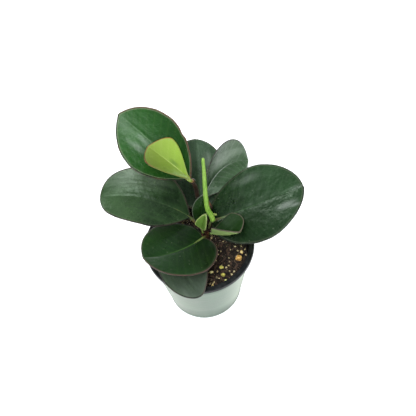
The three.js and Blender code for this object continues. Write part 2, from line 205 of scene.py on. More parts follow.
def closeSeams():
    # merges the active piece's doubles and turns its faces outward
    bpy.ops.object.mode_set(mode="EDIT")
    bpy.ops.mesh.select_all(action="SELECT")
    bpy.ops.mesh.remove_doubles(threshold=1e-6)
    bpy.ops.mesh.normals_make_consistent(inside=False)
    bpy.ops.object.mode_set(mode="OBJECT")


def lathe(profile, steps):
    # a profile of (radius, height) points is drawn by extruding one vertex and spun about the pot's axis
    clearSelection()
    bpy.ops.mesh.primitive_plane_add(size=0.01)
    piece = bpy.context.object
    bpy.ops.object.mode_set(mode="EDIT")
    bpy.ops.mesh.select_all(action="SELECT")
    bpy.ops.mesh.merge(type="CENTER")
    bpy.ops.transform.translate(value=(profile[0][0], 0, profile[0][1]))
    for before, after in zip(profile, profile[1:]):
        step = (after[0] - before[0], 0, after[1] - before[1])
        bpy.ops.mesh.extrude_vertices_move(TRANSFORM_OT_translate={"value": step})
    bpy.ops.mesh.select_all(action="SELECT")
    bpy.ops.mesh.spin(steps=steps, angle=2 * math.pi, center=(0, 0, 0), axis=(0, 0, 1))
    closeSeams()
    return piece


def smoothPath(points, count):
    # a centripetal curve through the points, sampled at even lengths
    given = [Vector(point) for point in points]
    given = [2 * given[0] - given[1], *given, 2 * given[-1] - given[-2]]
    fine = []
    for p0, p1, p2, p3 in zip(given, given[1:], given[2:], given[3:]):
        t1 = max((p1 - p0).length ** 0.5, 1e-6)
        t2 = t1 + max((p2 - p1).length ** 0.5, 1e-6)
        t3 = t2 + max((p3 - p2).length ** 0.5, 1e-6)
        for step in range(16):
            t = lerp(t1, t2, step / 16)
            a1 = p0.lerp(p1, t / t1)
            a2 = p1.lerp(p2, (t - t1) / (t2 - t1))
            a3 = p2.lerp(p3, (t - t2) / (t3 - t2))
            b1 = a1.lerp(a2, t / t2)
            b2 = a2.lerp(a3, (t - t1) / (t3 - t1))
            fine.append(b1.lerp(b2, (t - t1) / (t2 - t1)))
    fine.append(given[-2])
    lengths = [0.0]
    for a, b in zip(fine, fine[1:]):
        lengths.append(lengths[-1] + (b - a).length)
    path = []
    k = 0
    for step in range(count + 1):
        goal = lengths[-1] * step / count
        while k < len(fine) - 2 and lengths[k + 1] < goal:
            k += 1
        part = (goal - lengths[k]) / max(lengths[k + 1] - lengths[k], 1e-9)
        path.append(fine[k].lerp(fine[k + 1], min(max(part, 0), 1)))
    return path


def along(values, part):
    place = part * (len(values) - 1)
    before = min(int(place), len(values) - 2)
    return lerp(values[before], values[before + 1], place - before)


def nearestStep(path, place):
    return min(range(len(path)), key=lambda k: (path[k] - place).length_squared)


def addTube(points, radii, count=24, roundness=4, shape=lambda part: 1):
    # a curve with a round bevel, made a mesh. shape(part) scales the radius along it
    clearSelection()
    path = smoothPath(points, count)
    bpy.ops.curve.primitive_bezier_curve_add()
    curve = bpy.context.object.data
    curve.splines.clear()
    spline = curve.splines.new("POLY")
    spline.points.add(count)
    base = max(radii)
    for k, place in enumerate(path):
        spline.points[k].co = (*place, 1)
        spline.points[k].radius = along(radii, k / count) / base * shape(k / count)
    curve.bevel_depth = base
    curve.bevel_resolution = roundness
    curve.use_fill_caps = True
    curve.twist_mode = "MINIMUM"
    bpy.ops.object.convert(target="MESH")
    tube = bpy.context.object
    # how far along the tube each vertex is, from 0 to 1, for materials that change along it
    parts = tube.data.attributes.new("tubePart", "FLOAT", "POINT")
    for vertex in tube.data.vertices:
        parts.data[vertex.index].value = nearestStep(path, vertex.co) / count
    closeSeams()
    bpy.ops.object.shade_smooth()
    return tube


# material helpers. Where a value is a number or a color, it may also be another node's socket


def feed(tree, socket, value):
    if isinstance(value, bpy.types.NodeSocket):
        tree.links.new(value, socket)
    else:
        socket.default_value = value


def addNode(tree, kind, **values):
    # values are the node's own settings and then its sockets, with _ for a space
    node = tree.nodes.new("ShaderNode" + kind)
    for key, value in values.items():
        if key in node.bl_rna.properties:
            setattr(node, key, value)
        else:
            feed(tree, node.inputs[key.replace("_", " ")], value)
    return node


def mixColor(tree, share, a, b, mode="MIX"):
    mix = addNode(tree, "Mix", data_type="RGBA", blend_type=mode)
    for key, value in (("Factor", share), ("A", a), ("B", b)):
        socket = next(socket for socket in mix.inputs if socket.name == key and socket.enabled)
        feed(tree, socket, (*value, 1) if isinstance(value, (tuple, list)) else value)
    return next(socket for socket in mix.outputs if socket.enabled)


def spread(tree, value, low, high, newLow=0.0, newHigh=1.0, style="LINEAR"):
    node = addNode(
        tree, "MapRange", interpolation_type=style,
        Value=value, From_Min=low, From_Max=high, To_Min=newLow, To_Max=newHigh,
    )
    return node.outputs["Result"]


def fade(tree, value, low, high, newLow=0.0, newHigh=1.0):
    return spread(tree, value, low, high, newLow, newHigh, "SMOOTHSTEP")


def useMath(tree, operation, first, second=0.0):
    node = addNode(tree, "Math", operation=operation)
    feed(tree, node.inputs[0], first)
    feed(tree, node.inputs[1], second)
    return node.outputs[0]


def times(tree, first, second):
    return useMath(tree, "MULTIPLY", first, second)


def splitVector(tree, vector):
    return addNode(tree, "SeparateXYZ", Vector=vector).outputs


def readAttribute(tree, name, output="Fac"):
    return addNode(tree, "Attribute", attribute_name=name).outputs[output]


def setShader(material, **values):
    tree = material.node_tree
    for key, value in values.items():
        feed(tree, tree.nodes["Principled BSDF"].inputs[key.replace("_", " ")], value)
    return material


def newMaterial(name, color, roughness, **settings):
    material = bpy.data.materials.new(name)
    material.use_nodes = True
    setShader(material, Base_Color=(*color, 1), Roughness=roughness, **settings)
    return material, material.node_tree


def newGroup(name, inputs, output, kind):
    group = bpy.data.node_groups.new(name, "ShaderNodeTree")
    for socketName, default in inputs.items():
        socket = group.interface.new_socket(socketName, in_out="INPUT", socket_type="NodeSocketFloat")
        socket.default_value = default
    group.interface.new_socket(output, in_out="OUTPUT", socket_type=kind)
    return group, group.nodes.new("NodeGroupInput").outputs, group.nodes.new("NodeGroupOutput").inputs[0]


def makeMottleGroup():
    # cloudy patches from 0 to 1, at a scale in patches per metre
    inputs = {"Scale": 100.0, "Detail": 3.0, "Low": 0.35, "High": 0.65, "Shift": 0.0}
    group, given, out = newGroup("mottle", inputs, "Mask", "NodeSocketFloat")
    cloud = addNode(
        group, "TexNoise", noise_dimensions="4D", Vector=addNode(group, "TexCoord").outputs["Object"],
        Scale=given["Scale"], Detail=given["Detail"], W=given["Shift"],
    )
    feed(group, out, fade(group, cloud.outputs["Fac"], given["Low"], given["High"]))
    return group


def makeReliefGroup():
    # a fine bumpy surface: cells at one scale and soft waves at another
    inputs = {
        "Cell Scale": 2500.0, "Cell Depth": 0.1, "Wave Scale": 200.0, "Wave Depth": 0.2, "Distance": 0.0004,
    }
    group, given, out = newGroup("relief", inputs, "Normal", "NodeSocketVector")
    place = addNode(group, "TexCoord").outputs["Object"]
    cells = addNode(group, "TexVoronoi", feature="SMOOTH_F1", Vector=place, Scale=given["Cell Scale"])
    waves = addNode(group, "TexNoise", Vector=place, Scale=given["Wave Scale"], Detail=2.0)
    cellHeight = times(group, cells.outputs["Distance"], given["Cell Depth"])
    waveHeight = times(group, waves.outputs["Fac"], given["Wave Depth"])
    height = useMath(group, "ADD", cellHeight, waveHeight)
    bump = addNode(group, "Bump", Strength=1.0, Distance=given["Distance"], Height=height)
    feed(group, out, bump.outputs["Normal"])
    return group


def placeGroup(tree, group, **values):
    return addNode(tree, "Group", node_tree=group, **values).outputs[0]


def dapple(tree, color, patchColor, share, **values):
    # a color with patches of another one on it
    patches = placeGroup(tree, mottle, **values)
    return mixColor(tree, times(tree, patches, share), color, patchColor)


def toned(color, share):
    return [min(1, channel * share) for channel in color]


def blended(color, other, share):
    return [lerp(channel, toward, share) for channel, toward in zip(color, other)]


mottle = makeMottleGroup()
relief = makeReliefGroup()
addCamera()
addSky()
for lampName, lampValues in lamps.items():
    addLamp(lampName, lampValues)
addFloor()
print("camera, room and lights placed")

# leaves

blade = {
    "alongCuts": 44,
    "acrossCuts": 28,
    "spineSteps": 48,
    "thickness": 0.0013,
    "edgeShare": 0.54,  # thickness at the margin over thickness at the midrib
    "tipWidth": 0.0005,
    "grooveDepth": 0.00035,
    "grooveWidth": 0.0011,
    "waveDepth": 0.0003,
    "waveLength": 0.016,
    "unevenness": 0.016,  # of the margin, as a share of the half width
    "unevenPitch": 160,  # per metre
    "ribEnd": 0.62,  # the share of the length where the midrib ends below the blade
    "ribDepth": 0.00085,
    "ribRadius": 0.0004,  # at its end
    "stalkTaper": (1, 0.85, 0.6),  # from the stem to the midrib
    # the outline's handles, as shares of the way from the base to widest and from there to the tip
    "handles": (0.62, 0.45),
}

leafSkin = {
    "specular": {"IOR": 1.42, "Specular_Tint": (0.78, 1.0, 0.76, 1)},
    "streakPitch": (0.045, 0.17),  # streaks per millimetre, along and across the leaf
    "streakDepth": 0.0013,
    "clouds": {"Scale": 70.0, "Detail": 4.0, "Low": 0.3, "High": 0.7},
    "cloudShare": 0.34,
    "specks": {"share": 0.25, "Scale": 900.0, "Detail": 2.0, "Low": 0.45, "High": 0.8},
    "spots": {"share": 0.4, "Scale": 620.0, "Detail": 1.0, "Low": 0.72, "High": 0.76},
    "spotColor": (0.22, 0.26, 0.18),
    "paintedLightStretch": 0.36,  # the painted highlight patches are longer than wide
    "veinPitch": 1.15,
    "veinBend": 1.1,
    "veinShare": 0.05,
    "midribFade": (0.18, 0.62),  # millimetres from its middle
    "lineColor": (0.34, 0.34, 0.24),
    "lineInset": 0.3,
    "outlineColor": (0.008, 0.010, 0.010),
    "edgeMottle": {"Scale": 90.0, "Detail": 2.0, "Low": 0.4, "High": 0.6},
    "gloss": {"Scale": 160.0, "Detail": 3.0, "Low": 0.3, "High": 0.7},
    "glossSpread": (-0.05, 0.07),
    "bumps": {"Cell_Scale": 1900.0, "Cell_Depth": 0.16, "Wave_Scale": 220.0, "Wave_Depth": 0.9},
    "youngMargin": (6, 0.3),  # a young margin's strength rises over these millimetres, from this share
    "underColor": (0.34, 0.50, 0.16),
    "underShare": 0.9,  # of that color in the underside's
    "stalkColor": (0.20, 0.30, 0.07),
    "stalkStreaks": (0.16, 0.09, 0.03),
}

# what a leaf has where it doesn't say otherwise
commonLeaf = {
    "slot": "leaves",
    "stalkRadius": 0.0013,
    "neck": 0.0011,  # half width where the blade leaves its stalk
    "marginDrop": (0.0002, 0.0002),  # how far the left and the right margin roll down
    "notch": (0.5, 0, 0.1),  # a dent of the right margin: share of the length, depth and width
    "sides": (1, 1),  # painted shade: brightness of the left and the right half
    "paintedHalfReach": 0.3,  # how far out from the midrib the painted shade changes over, as a share of the half width
    "outline": (0, 0),  # how dark the left and the right margin are
    "marginWidth": 1.0,  # in millimetres
    "marginFrom": 0,  # share of the length where the margin gets its color
    "paleLine": 0.1,  # strength of the line inside the margin
    "paintedLight": [],  # painted highlights and sheen as paler patches, dark ones as painted shadow: share of the length and of the half width, size and strength
    "paintedLightColor": (0.36, 0.40, 0.36),
    "stalkTint": (0.14, 0.045, 0.02),  # color of the stalk by the stem
    "stalkPale": 0.5,  # from the blade's green, 0, to the stalk's own, 1
}

# Lengths are in metres and angles in degrees. A leaf leaves its base along heading and climb, droops and
# swings over its length, and is rolled about its midrib. fold is how far each half rises from the midrib, at
# the base and at the tip, and cup is how much more it curls up by the margin. Its outline is as wide as
# halfWidth at widest, and shoulder and point round it off at the base and the tip. stalk is the way from the
# stem to the base. deep is its green by the stalk, on most leaves darker as painted shade from the plant's
# centre, and fresh the one by the tip.
leaves = {
    "leaf_upper_left": {
        "base": (-0.0002, 0.022, 0.1118), "heading": 138.5, "climb": 38, "roll": -28.5,
        "length": 0.0645, "halfWidth": 0.0216, "droop": 27, "swing": -7, "twist": -2.5,
        "fold": (10.5, 5), "cup": 21.5, "widest": 0.52, "shoulder": (0.12, 0.42), "point": (0.05, 0.44),
        "stalk": [(0.0007, 0.0204, 0.1116)], "notch": (0.375, 0.0012, 0.028),
        "deep": (0.005, 0.027, 0.004), "fresh": (0.015, 0.080, 0.009), "margin": (0.16, 0.07, 0.05),
        "rib": (0.13, 0.22, 0.06), "streaks": 0.25, "ribTint": 0.25, "roughness": 0.25,
        "sides": (1, 0.88), "outline": (0.95, 0.15), "paleLine": 0.35,
        # painted highlights
        "paintedLight": [
            (0.93, 0.15, 0.008, 0.12), (0.62, 0.12, 0.0024, 0.8), (0.60, 0.40, 0.0028, 0.5),
            (0.70, 0.45, 0.002, 0.35),
        ],
    },
    "leaf_youngest": {
        "base": (-0.001, 0.017, 0.1191), "heading": 150, "climb": 45.5, "roll": 23.5,
        "length": 0.034, "halfWidth": 0.0148, "droop": 27.5, "swing": -11, "twist": -16.5,
        "fold": (14.5, 4.5), "cup": 15.5, "widest": 0.72, "shoulder": (0.1, 0.15), "point": (0.03, 0.52),
        "stalk": [(0.0007, 0.0204, 0.1124)], "neck": 0.0017, "slot": "young_leaves",
        "deep": (0.285, 0.465, 0.048), "fresh": (0.25, 0.36, 0.055), "margin": (0.30, 0.10, 0.03),
        "rib": (0.55, 0.66, 0.22), "streaks": 0.15, "ribTint": 0.6, "roughness": 0.38,
        # its left half is darker as painted shade
        "sides": (0.42, 1), "paintedHalfReach": 1.0, "outline": (0.55, 0.1), "paleLine": 0.15,
        "marginWidth": 0.85, "marginFrom": 0.82, "stalkTint": (0.34, 0.12, 0.04),
        # a dark patch by the midrib as painted shadow
        "paintedLight": [(0.42, -0.12, 0.0022, 0.75)], "paintedLightColor": (0.06, 0.15, 0.03),
    },
    "leaf_left": {
        "base": (-0.0037, 0.0166, 0.0744), "heading": 158.5, "climb": 44, "roll": -8,
        "length": 0.067, "halfWidth": 0.0226, "droop": 56, "swing": 15, "twist": -1,
        "fold": (9, 9), "cup": 18.5, "widest": 0.49, "shoulder": (0.11, 0.36), "point": (0.02, 0.72),
        "stalk": [(0.0039, 0.0102, 0.068), (0.0004, 0.0138, 0.0706)], "stalkPale": 0.15,
        "deep": (0.005, 0.013, 0.006), "fresh": (0.034, 0.076, 0.026), "margin": (0.10, 0.06, 0.055),
        "rib": (0.10, 0.16, 0.08), "streaks": 0.55, "ribTint": 0.2, "roughness": 0.27,
        "sides": (1, 0.8), "outline": (0.8, 0.5), "marginWidth": 1.05,
        # painted sheen near the far margin
        "paintedLight": [(0.68, -0.62, 0.011, 0.34)],
    },
    "leaf_front_left": {
        "base": (0.0026, 0.0022, 0.0694), "heading": 222, "climb": 17.5, "roll": -4,
        "length": 0.0495, "halfWidth": 0.0254, "droop": -10, "swing": -30.5, "twist": 19,
        "fold": (9, 9.5), "cup": -6.5, "widest": 0.41, "shoulder": (-0.19, 0.5), "point": (0.01, 0.75),
        "stalk": [(0.0056, 0.0076, 0.0618), (0.0042, 0.0046, 0.066)], "stalkRadius": 0.00125,
        "deep": (0.0035, 0.010, 0.003), "fresh": (0.009, 0.036, 0.0075), "margin": (0.13, 0.075, 0.06),
        "rib": (0.07, 0.17, 0.03), "streaks": 0.2, "ribTint": 0.6, "roughness": 0.32,
        "outline": (0.35, 0.9), "marginWidth": 1.1,
    },
    "leaf_over_rim": {
        "base": (-0.0095, 0.0047, 0.0648), "heading": 246.5, "climb": 13, "roll": -4,
        "length": 0.051, "halfWidth": 0.0172, "droop": 8, "swing": 62.5, "twist": 0.5,
        "fold": (8, 8), "cup": 4.5, "widest": 0.47, "shoulder": (0.1, 0.35), "point": (0, 0.49),
        "stalk": [(0.0055, 0.0079, 0.0624), (0.0014, 0.0086, 0.0634), (-0.0034, 0.0076, 0.0644)],
        "stalkRadius": 0.00115,
        "deep": (0.028, 0.044, 0.031), "fresh": (0.067, 0.091, 0.067), "margin": (0.08, 0.06, 0.05),
        "rib": (0.10, 0.14, 0.09), "streaks": 0.5, "ribTint": 0.15, "roughness": 0.45,
        "sides": (0.65, 1), "outline": (0.3, 0.95), "paleLine": 0.05,
        # painted sheen
        "paintedLight": [(0.85, -0.4, 0.004, 0.12)],
    },
    "leaf_right": {
        "base": (0.0101, 0.0122, 0.0724), "heading": 1, "climb": 22, "roll": 10,
        "length": 0.069, "halfWidth": 0.0287, "droop": -4, "swing": 1, "twist": -8,
        "fold": (1, 7.5), "cup": 4, "widest": 0.53, "shoulder": (-0.06, 0.56), "point": (0, 0.53),
        "stalk": [(0.0086, 0.011, 0.0695)], "stalkPale": 0.3, "marginDrop": (0.0003, 0.0011),
        "deep": (0.0022, 0.008, 0.0025), "fresh": (0.018, 0.050, 0.017), "margin": (0.06, 0.07, 0.045),
        "rib": (0.09, 0.17, 0.08), "streaks": 0.15, "ribTint": 0.35, "roughness": 0.25,
        "sides": (1, 0.75), "outline": (0.4, 0.9), "paleLine": 0.15,
        # painted sheen on the far half, painted glints near the tip and a painted bright midrib at the tip
        "paintedLight": [
            (0.46, 0.73, 0.0055, 0.2), (0.79, -0.34, 0.0038, 0.55), (0.93, 0.0, 0.0026, 0.7),
            (0.88, -0.43, 0.002, 0.55),
        ],
    },
    "leaf_back_right": {
        "base": (0.0073, 0.03, 0.076), "heading": 64.5, "climb": 31, "roll": 51.5,
        "length": 0.0525, "halfWidth": 0.0203, "droop": 69, "swing": -50, "twist": -17.5,
        "fold": (35, 6), "cup": 33.5, "widest": 0.59, "shoulder": (0.11, 0.32), "point": (0.05, 0.45),
        "stalk": [(0.011, 0.0204, 0.0785), (0.0098, 0.026, 0.0776)], "stalkRadius": 0.0011,
        "deep": (0.014, 0.032, 0.014), "fresh": (0.052, 0.100, 0.047), "margin": (0.10, 0.08, 0.075),
        # its pale rib color and strong ribTint paint a highlight along the midrib
        "rib": (0.45, 0.50, 0.45), "streaks": 0.6, "ribTint": 0.55, "roughness": 0.26,
        "outline": (0.6, 0.8), "marginWidth": 0.9, "stalkPale": 0.25,
        # painted sheen on the left half
        "paintedLight": [(0.55, 0.45, 0.010, 0.42), (0.5, 0.85, 0.005, 0.4)],
    },
    "leaf_back": {
        "base": (0.0045, 0.0275, 0.0701), "heading": 89.5, "climb": 20, "roll": 14,
        "length": 0.0525, "halfWidth": 0.021, "droop": 6, "swing": -6, "twist": -3,
        "fold": (6, 5), "cup": 5, "widest": 0.5, "shoulder": (-0.14, 0.66), "point": (0.01, 0.58),
        "stalk": [(0.0086, 0.011, 0.0695), (0.0066, 0.019, 0.0692)], "stalkRadius": 0.0011, "stalkPale": 0.2,
        "deep": (0.004, 0.010, 0.005), "fresh": (0.050, 0.090, 0.052), "margin": (0.10, 0.07, 0.05),
        "rib": (0.09, 0.16, 0.08), "streaks": 0.5, "ribTint": 0.2, "roughness": 0.28,
        "sides": (0.55, 1), "outline": (0.6, 0.7), "marginWidth": 0.9, "paleLine": 0.15,
        # painted sheen
        "paintedLight": [(0.64, -0.35, 0.0045, 0.8), (0.45, -0.75, 0.005, 0.45)],
    },
    "leaf_folded": {
        "base": (0.0084, 0.0011, 0.0769), "heading": -24, "climb": 8, "roll": -34,
        "length": 0.024, "halfWidth": 0.0174, "droop": -37, "swing": -0.5, "twist": -1.5,
        "fold": (39.5, 27.5), "cup": 4.5, "widest": 0.47, "shoulder": (0.13, 0.31), "point": (-0.02, 0.74),
        "stalk": [(0.0066, 0.0089, 0.0647), (0.0082, 0.005, 0.0685)], "stalkRadius": 0.0009,
        "stalkPale": 0.12, "marginDrop": (0.0003, 0.0009),
        "deep": (0.002, 0.011, 0.001), "fresh": (0.006, 0.030, 0.002), "margin": (0.15, 0.12, 0.09),
        "rib": (0.10, 0.20, 0.06), "streaks": 0.15, "ribTint": 0.3, "roughness": 0.4,
        "outline": (0.1, 0.1), "marginWidth": 0.9, "paleLine": 0,
    },
    "leaf_centre": {
        "base": (0.0024, 0.0088, 0.071), "heading": 69.5, "climb": 68, "roll": -6,
        "length": 0.028, "halfWidth": 0.007, "droop": 8, "swing": -0.5, "twist": -12,
        "fold": (14.5, 21), "cup": 17, "widest": 0.56, "shoulder": (0.1, 0.45), "point": (0.05, 0.35),
        "stalk": [(0.0039, 0.0102, 0.068)], "stalkRadius": 0.0008, "marginDrop": (0, 0),
        "deep": (0.004, 0.016, 0.0025), "fresh": (0.011, 0.036, 0.006), "margin": (0.11, 0.125, 0.095),
        "rib": (0.05, 0.12, 0.03), "streaks": 0.2, "ribTint": 0.3, "roughness": 0.28,
        "marginWidth": 0.6, "paleLine": 0,
    },
    "leaf_unfolding": {
        "base": (0.0028, 0.0053, 0.0764), "heading": 40.5, "climb": 58.5, "roll": 8,
        "length": 0.014, "halfWidth": 0.0064, "droop": -17.5, "swing": 3, "twist": 1,
        "fold": (40.5, 45.5), "cup": 11, "widest": 0.35, "shoulder": (0.12, 0.58), "point": (0.03, 0.45),
        "stalk": [(0.0045, 0.0094, 0.0658), (0.0032, 0.0059, 0.0704)], "stalkRadius": 0.00065,
        "marginDrop": (0, 0), "slot": "young_leaves",
        "deep": (0.072, 0.156, 0.026), "fresh": (0.15, 0.28, 0.048), "margin": (0.36, 0.45, 0.145),
        "rib": (0.30, 0.14, 0.06), "streaks": 0.2, "ribTint": 0.35, "roughness": 0.4,
        "marginWidth": 0.5, "paleLine": 0,
    },
}


def leafAxes(leaf, part):
    climb = math.radians(leaf["climb"] - leaf["droop"] * part)
    heading = math.radians(leaf["heading"] + leaf["swing"] * part)
    roll = math.radians(leaf["roll"] + leaf["twist"] * part)
    level = math.cos(climb)
    ahead = Vector((level * math.cos(heading), level * math.sin(heading), math.sin(climb)))
    left = Matrix.Rotation(roll, 3, ahead) @ Vector((-math.sin(heading), math.cos(heading), 0))
    return ahead, left, ahead.cross(left)


def leafSurface(leaf):
    # gives the point at a distance along the midrib, a distance to its left and a height above the leaf
    steps = blade["spineSteps"]
    spine = [Vector(leaf["base"])]
    for k in range(steps):
        spine.append(spine[k] + leafAxes(leaf, (k + 0.5) / steps)[0] * (leaf["length"] / steps))

    def surface(distance, leftward, height):
        part = min(max(distance / leaf["length"], 0), 1)
        ahead, left, up = leafAxes(leaf, part)
        k = min(int(part * steps), steps - 1)
        point = spine[k].lerp(spine[k + 1], part * steps - k) + ahead * min(distance, 0)
        rise = math.radians(lerp(*leaf["fold"], part))
        curl = math.radians(leaf["cup"]) / leaf["halfWidth"]
        slope = rise + curl * abs(leftward)
        side = (leftward > 0) - (leftward < 0)
        across = (math.sin(slope) - math.sin(rise)) / curl - height * math.sin(slope)
        lift = (math.cos(rise) - math.cos(slope)) / curl + height * (math.cos(slope) if side else 1)
        return point + left * (side * across) + up * lift

    return surface


def leafOutline(leaf):
    # half of the outline, flat: how far along the leaf it is, and how far from the midrib
    length, halfWidth, widest = leaf["length"], leaf["halfWidth"], leaf["widest"]
    before, after = blade["handles"]
    baseCurve = ((0, 0), leaf["shoulder"], (before * widest, 1), (widest, 1))
    tipCurve = ((widest, 1), (lerp(widest, 1, after), 1), (1 - leaf["point"][0], leaf["point"][1]), (1, 0))

    def outline(part):
        curve = baseCurve if part < 0.5 else tipCurve
        a, b, c, d = (Vector((x * length, y * halfWidth)) for x, y in curve)
        t = 2 * part if part < 0.5 else 2 * part - 1
        return a * (1 - t) ** 3 + b * 3 * t * (1 - t) ** 2 + c * 3 * t * t * (1 - t) + d * t**3

    return outline


def addBlade(leaf, seed, materials):
    clearSelection()
    bpy.ops.mesh.primitive_grid_add(
        x_subdivisions=blade["alongCuts"], y_subdivisions=blade["acrossCuts"], size=2
    )
    piece = bpy.context.object
    for material in materials:
        piece.data.materials.append(material)  # top, underside, margin
    surface, outline = leafSurface(leaf), leafOutline(leaf)
    notchPlace, notchDepth, notchWidth = leaf["notch"]
    thick = piece.vertex_groups.new(name="thick")
    mapped = []
    for vertex in piece.data.vertices:
        part, outward = (vertex.co.x + 1) / 2, vertex.co.y
        margin = outline(part)
        halfWidth = max(margin.y, lerp(leaf["neck"], blade["tipWidth"], part))
        distance = lerp(leaf["length"] * part, margin.x, abs(outward))
        edgeWave = Vector((distance * blade["unevenPitch"], math.copysign(3, outward), seed * 5.1))
        halfWidth *= 1 + blade["unevenness"] * noise.noise(edgeWave) * abs(outward)
        if outward < 0:
            offNotch = (distance / leaf["length"] - notchPlace) / notchWidth
            halfWidth -= notchDepth * outward**4 * math.exp(-(offNotch**2))
        across = halfWidth * outward
        groove = math.exp(-((across / blade["grooveWidth"]) ** 2)) * smooth(1, 0.8, part)
        ripple = Vector((distance / blade["waveLength"], across / blade["waveLength"], seed * 7.3))
        wave = noise.noise(ripple) * (0.3 + 0.7 * abs(outward)) * smooth(0, 0.25, part)
        drop = leaf["marginDrop"][0 if outward > 0 else 1] * abs(outward) ** 3 * smooth(0, 0.3, part)
        thick.add([vertex.index], 1 - outward**2, "REPLACE")
        mapped.append((distance * 1000, across * 1000, halfWidth * (1 - abs(outward)) * 1000))
        height = blade["waveDepth"] * wave - blade["grooveDepth"] * groove - drop
        vertex.co = surface(distance, across, height)
    # millimetres along the leaf, across it and in from its margin, for the materials
    leafMap = piece.data.attributes.new("leafMap", "FLOAT_VECTOR", "POINT")
    for vertex, place in zip(piece.data.vertices, mapped):
        leafMap.data[vertex.index].vector = place
    applyModifier(
        piece, "SOLIDIFY", thickness=blade["thickness"], offset=0, vertex_group="thick",
        thickness_vertex_group=blade["edgeShare"], material_offset=1, material_offset_rim=2,
    )
    applyModifier(piece, "SUBSURF", levels=1, render_levels=1)
    pick(piece)
    bpy.ops.object.shade_smooth()
    return piece


def addPetiole(leaf):
    # the stalk runs on under the blade as its midrib
    surface = leafSurface(leaf)
    rib = []
    for part in (0, 0.2, 0.4, blade["ribEnd"]):
        rib.append(surface(part * leaf["length"], 0, -blade["ribDepth"] * lerp(0.5, 1, part)))
    radii = [leaf["stalkRadius"] * share for share in blade["stalkTaper"]]
    return addTube([*leaf["stalk"], *rib], [*radii, blade["ribRadius"]], count=40)


def readLeafMap(tree):
    return splitVector(tree, readAttribute(tree, "leafMap", "Vector"))


def marginStrength(tree, leaf, distance):
    # a young leaf has its colored margin only toward the tip
    start = leaf["marginFrom"] * leaf["length"] * 1000
    rise, least = leafSkin["youngMargin"]
    return spread(tree, distance, start - rise, start, least if start else 1, 1)


def addPaintedLight(tree, leaf, color, distance, across, streaks):
    # painted highlights and sheen as paler patches at given places on the leaf, and painted shadow where the
    # patch color is dark
    patchy = spread(tree, streaks, 0.38, 0.60, 0.25, 1)
    for share, sideways, size, strength in leaf["paintedLight"]:
        ahead = useMath(tree, "SUBTRACT", distance, share * leaf["length"] * 1000)
        beside = useMath(tree, "SUBTRACT", across, sideways * leaf["halfWidth"] * 1000)
        apart = addNode(tree, "CombineXYZ", X=times(tree, ahead, leafSkin["paintedLightStretch"]), Y=beside)
        reach = addNode(tree, "VectorMath", operation="LENGTH", Vector=apart.outputs[0])
        near = fade(tree, reach.outputs["Value"], 0, size * 1000, strength, 0)
        color = mixColor(tree, times(tree, near, patchy), color, leaf["paintedLightColor"])
    return color


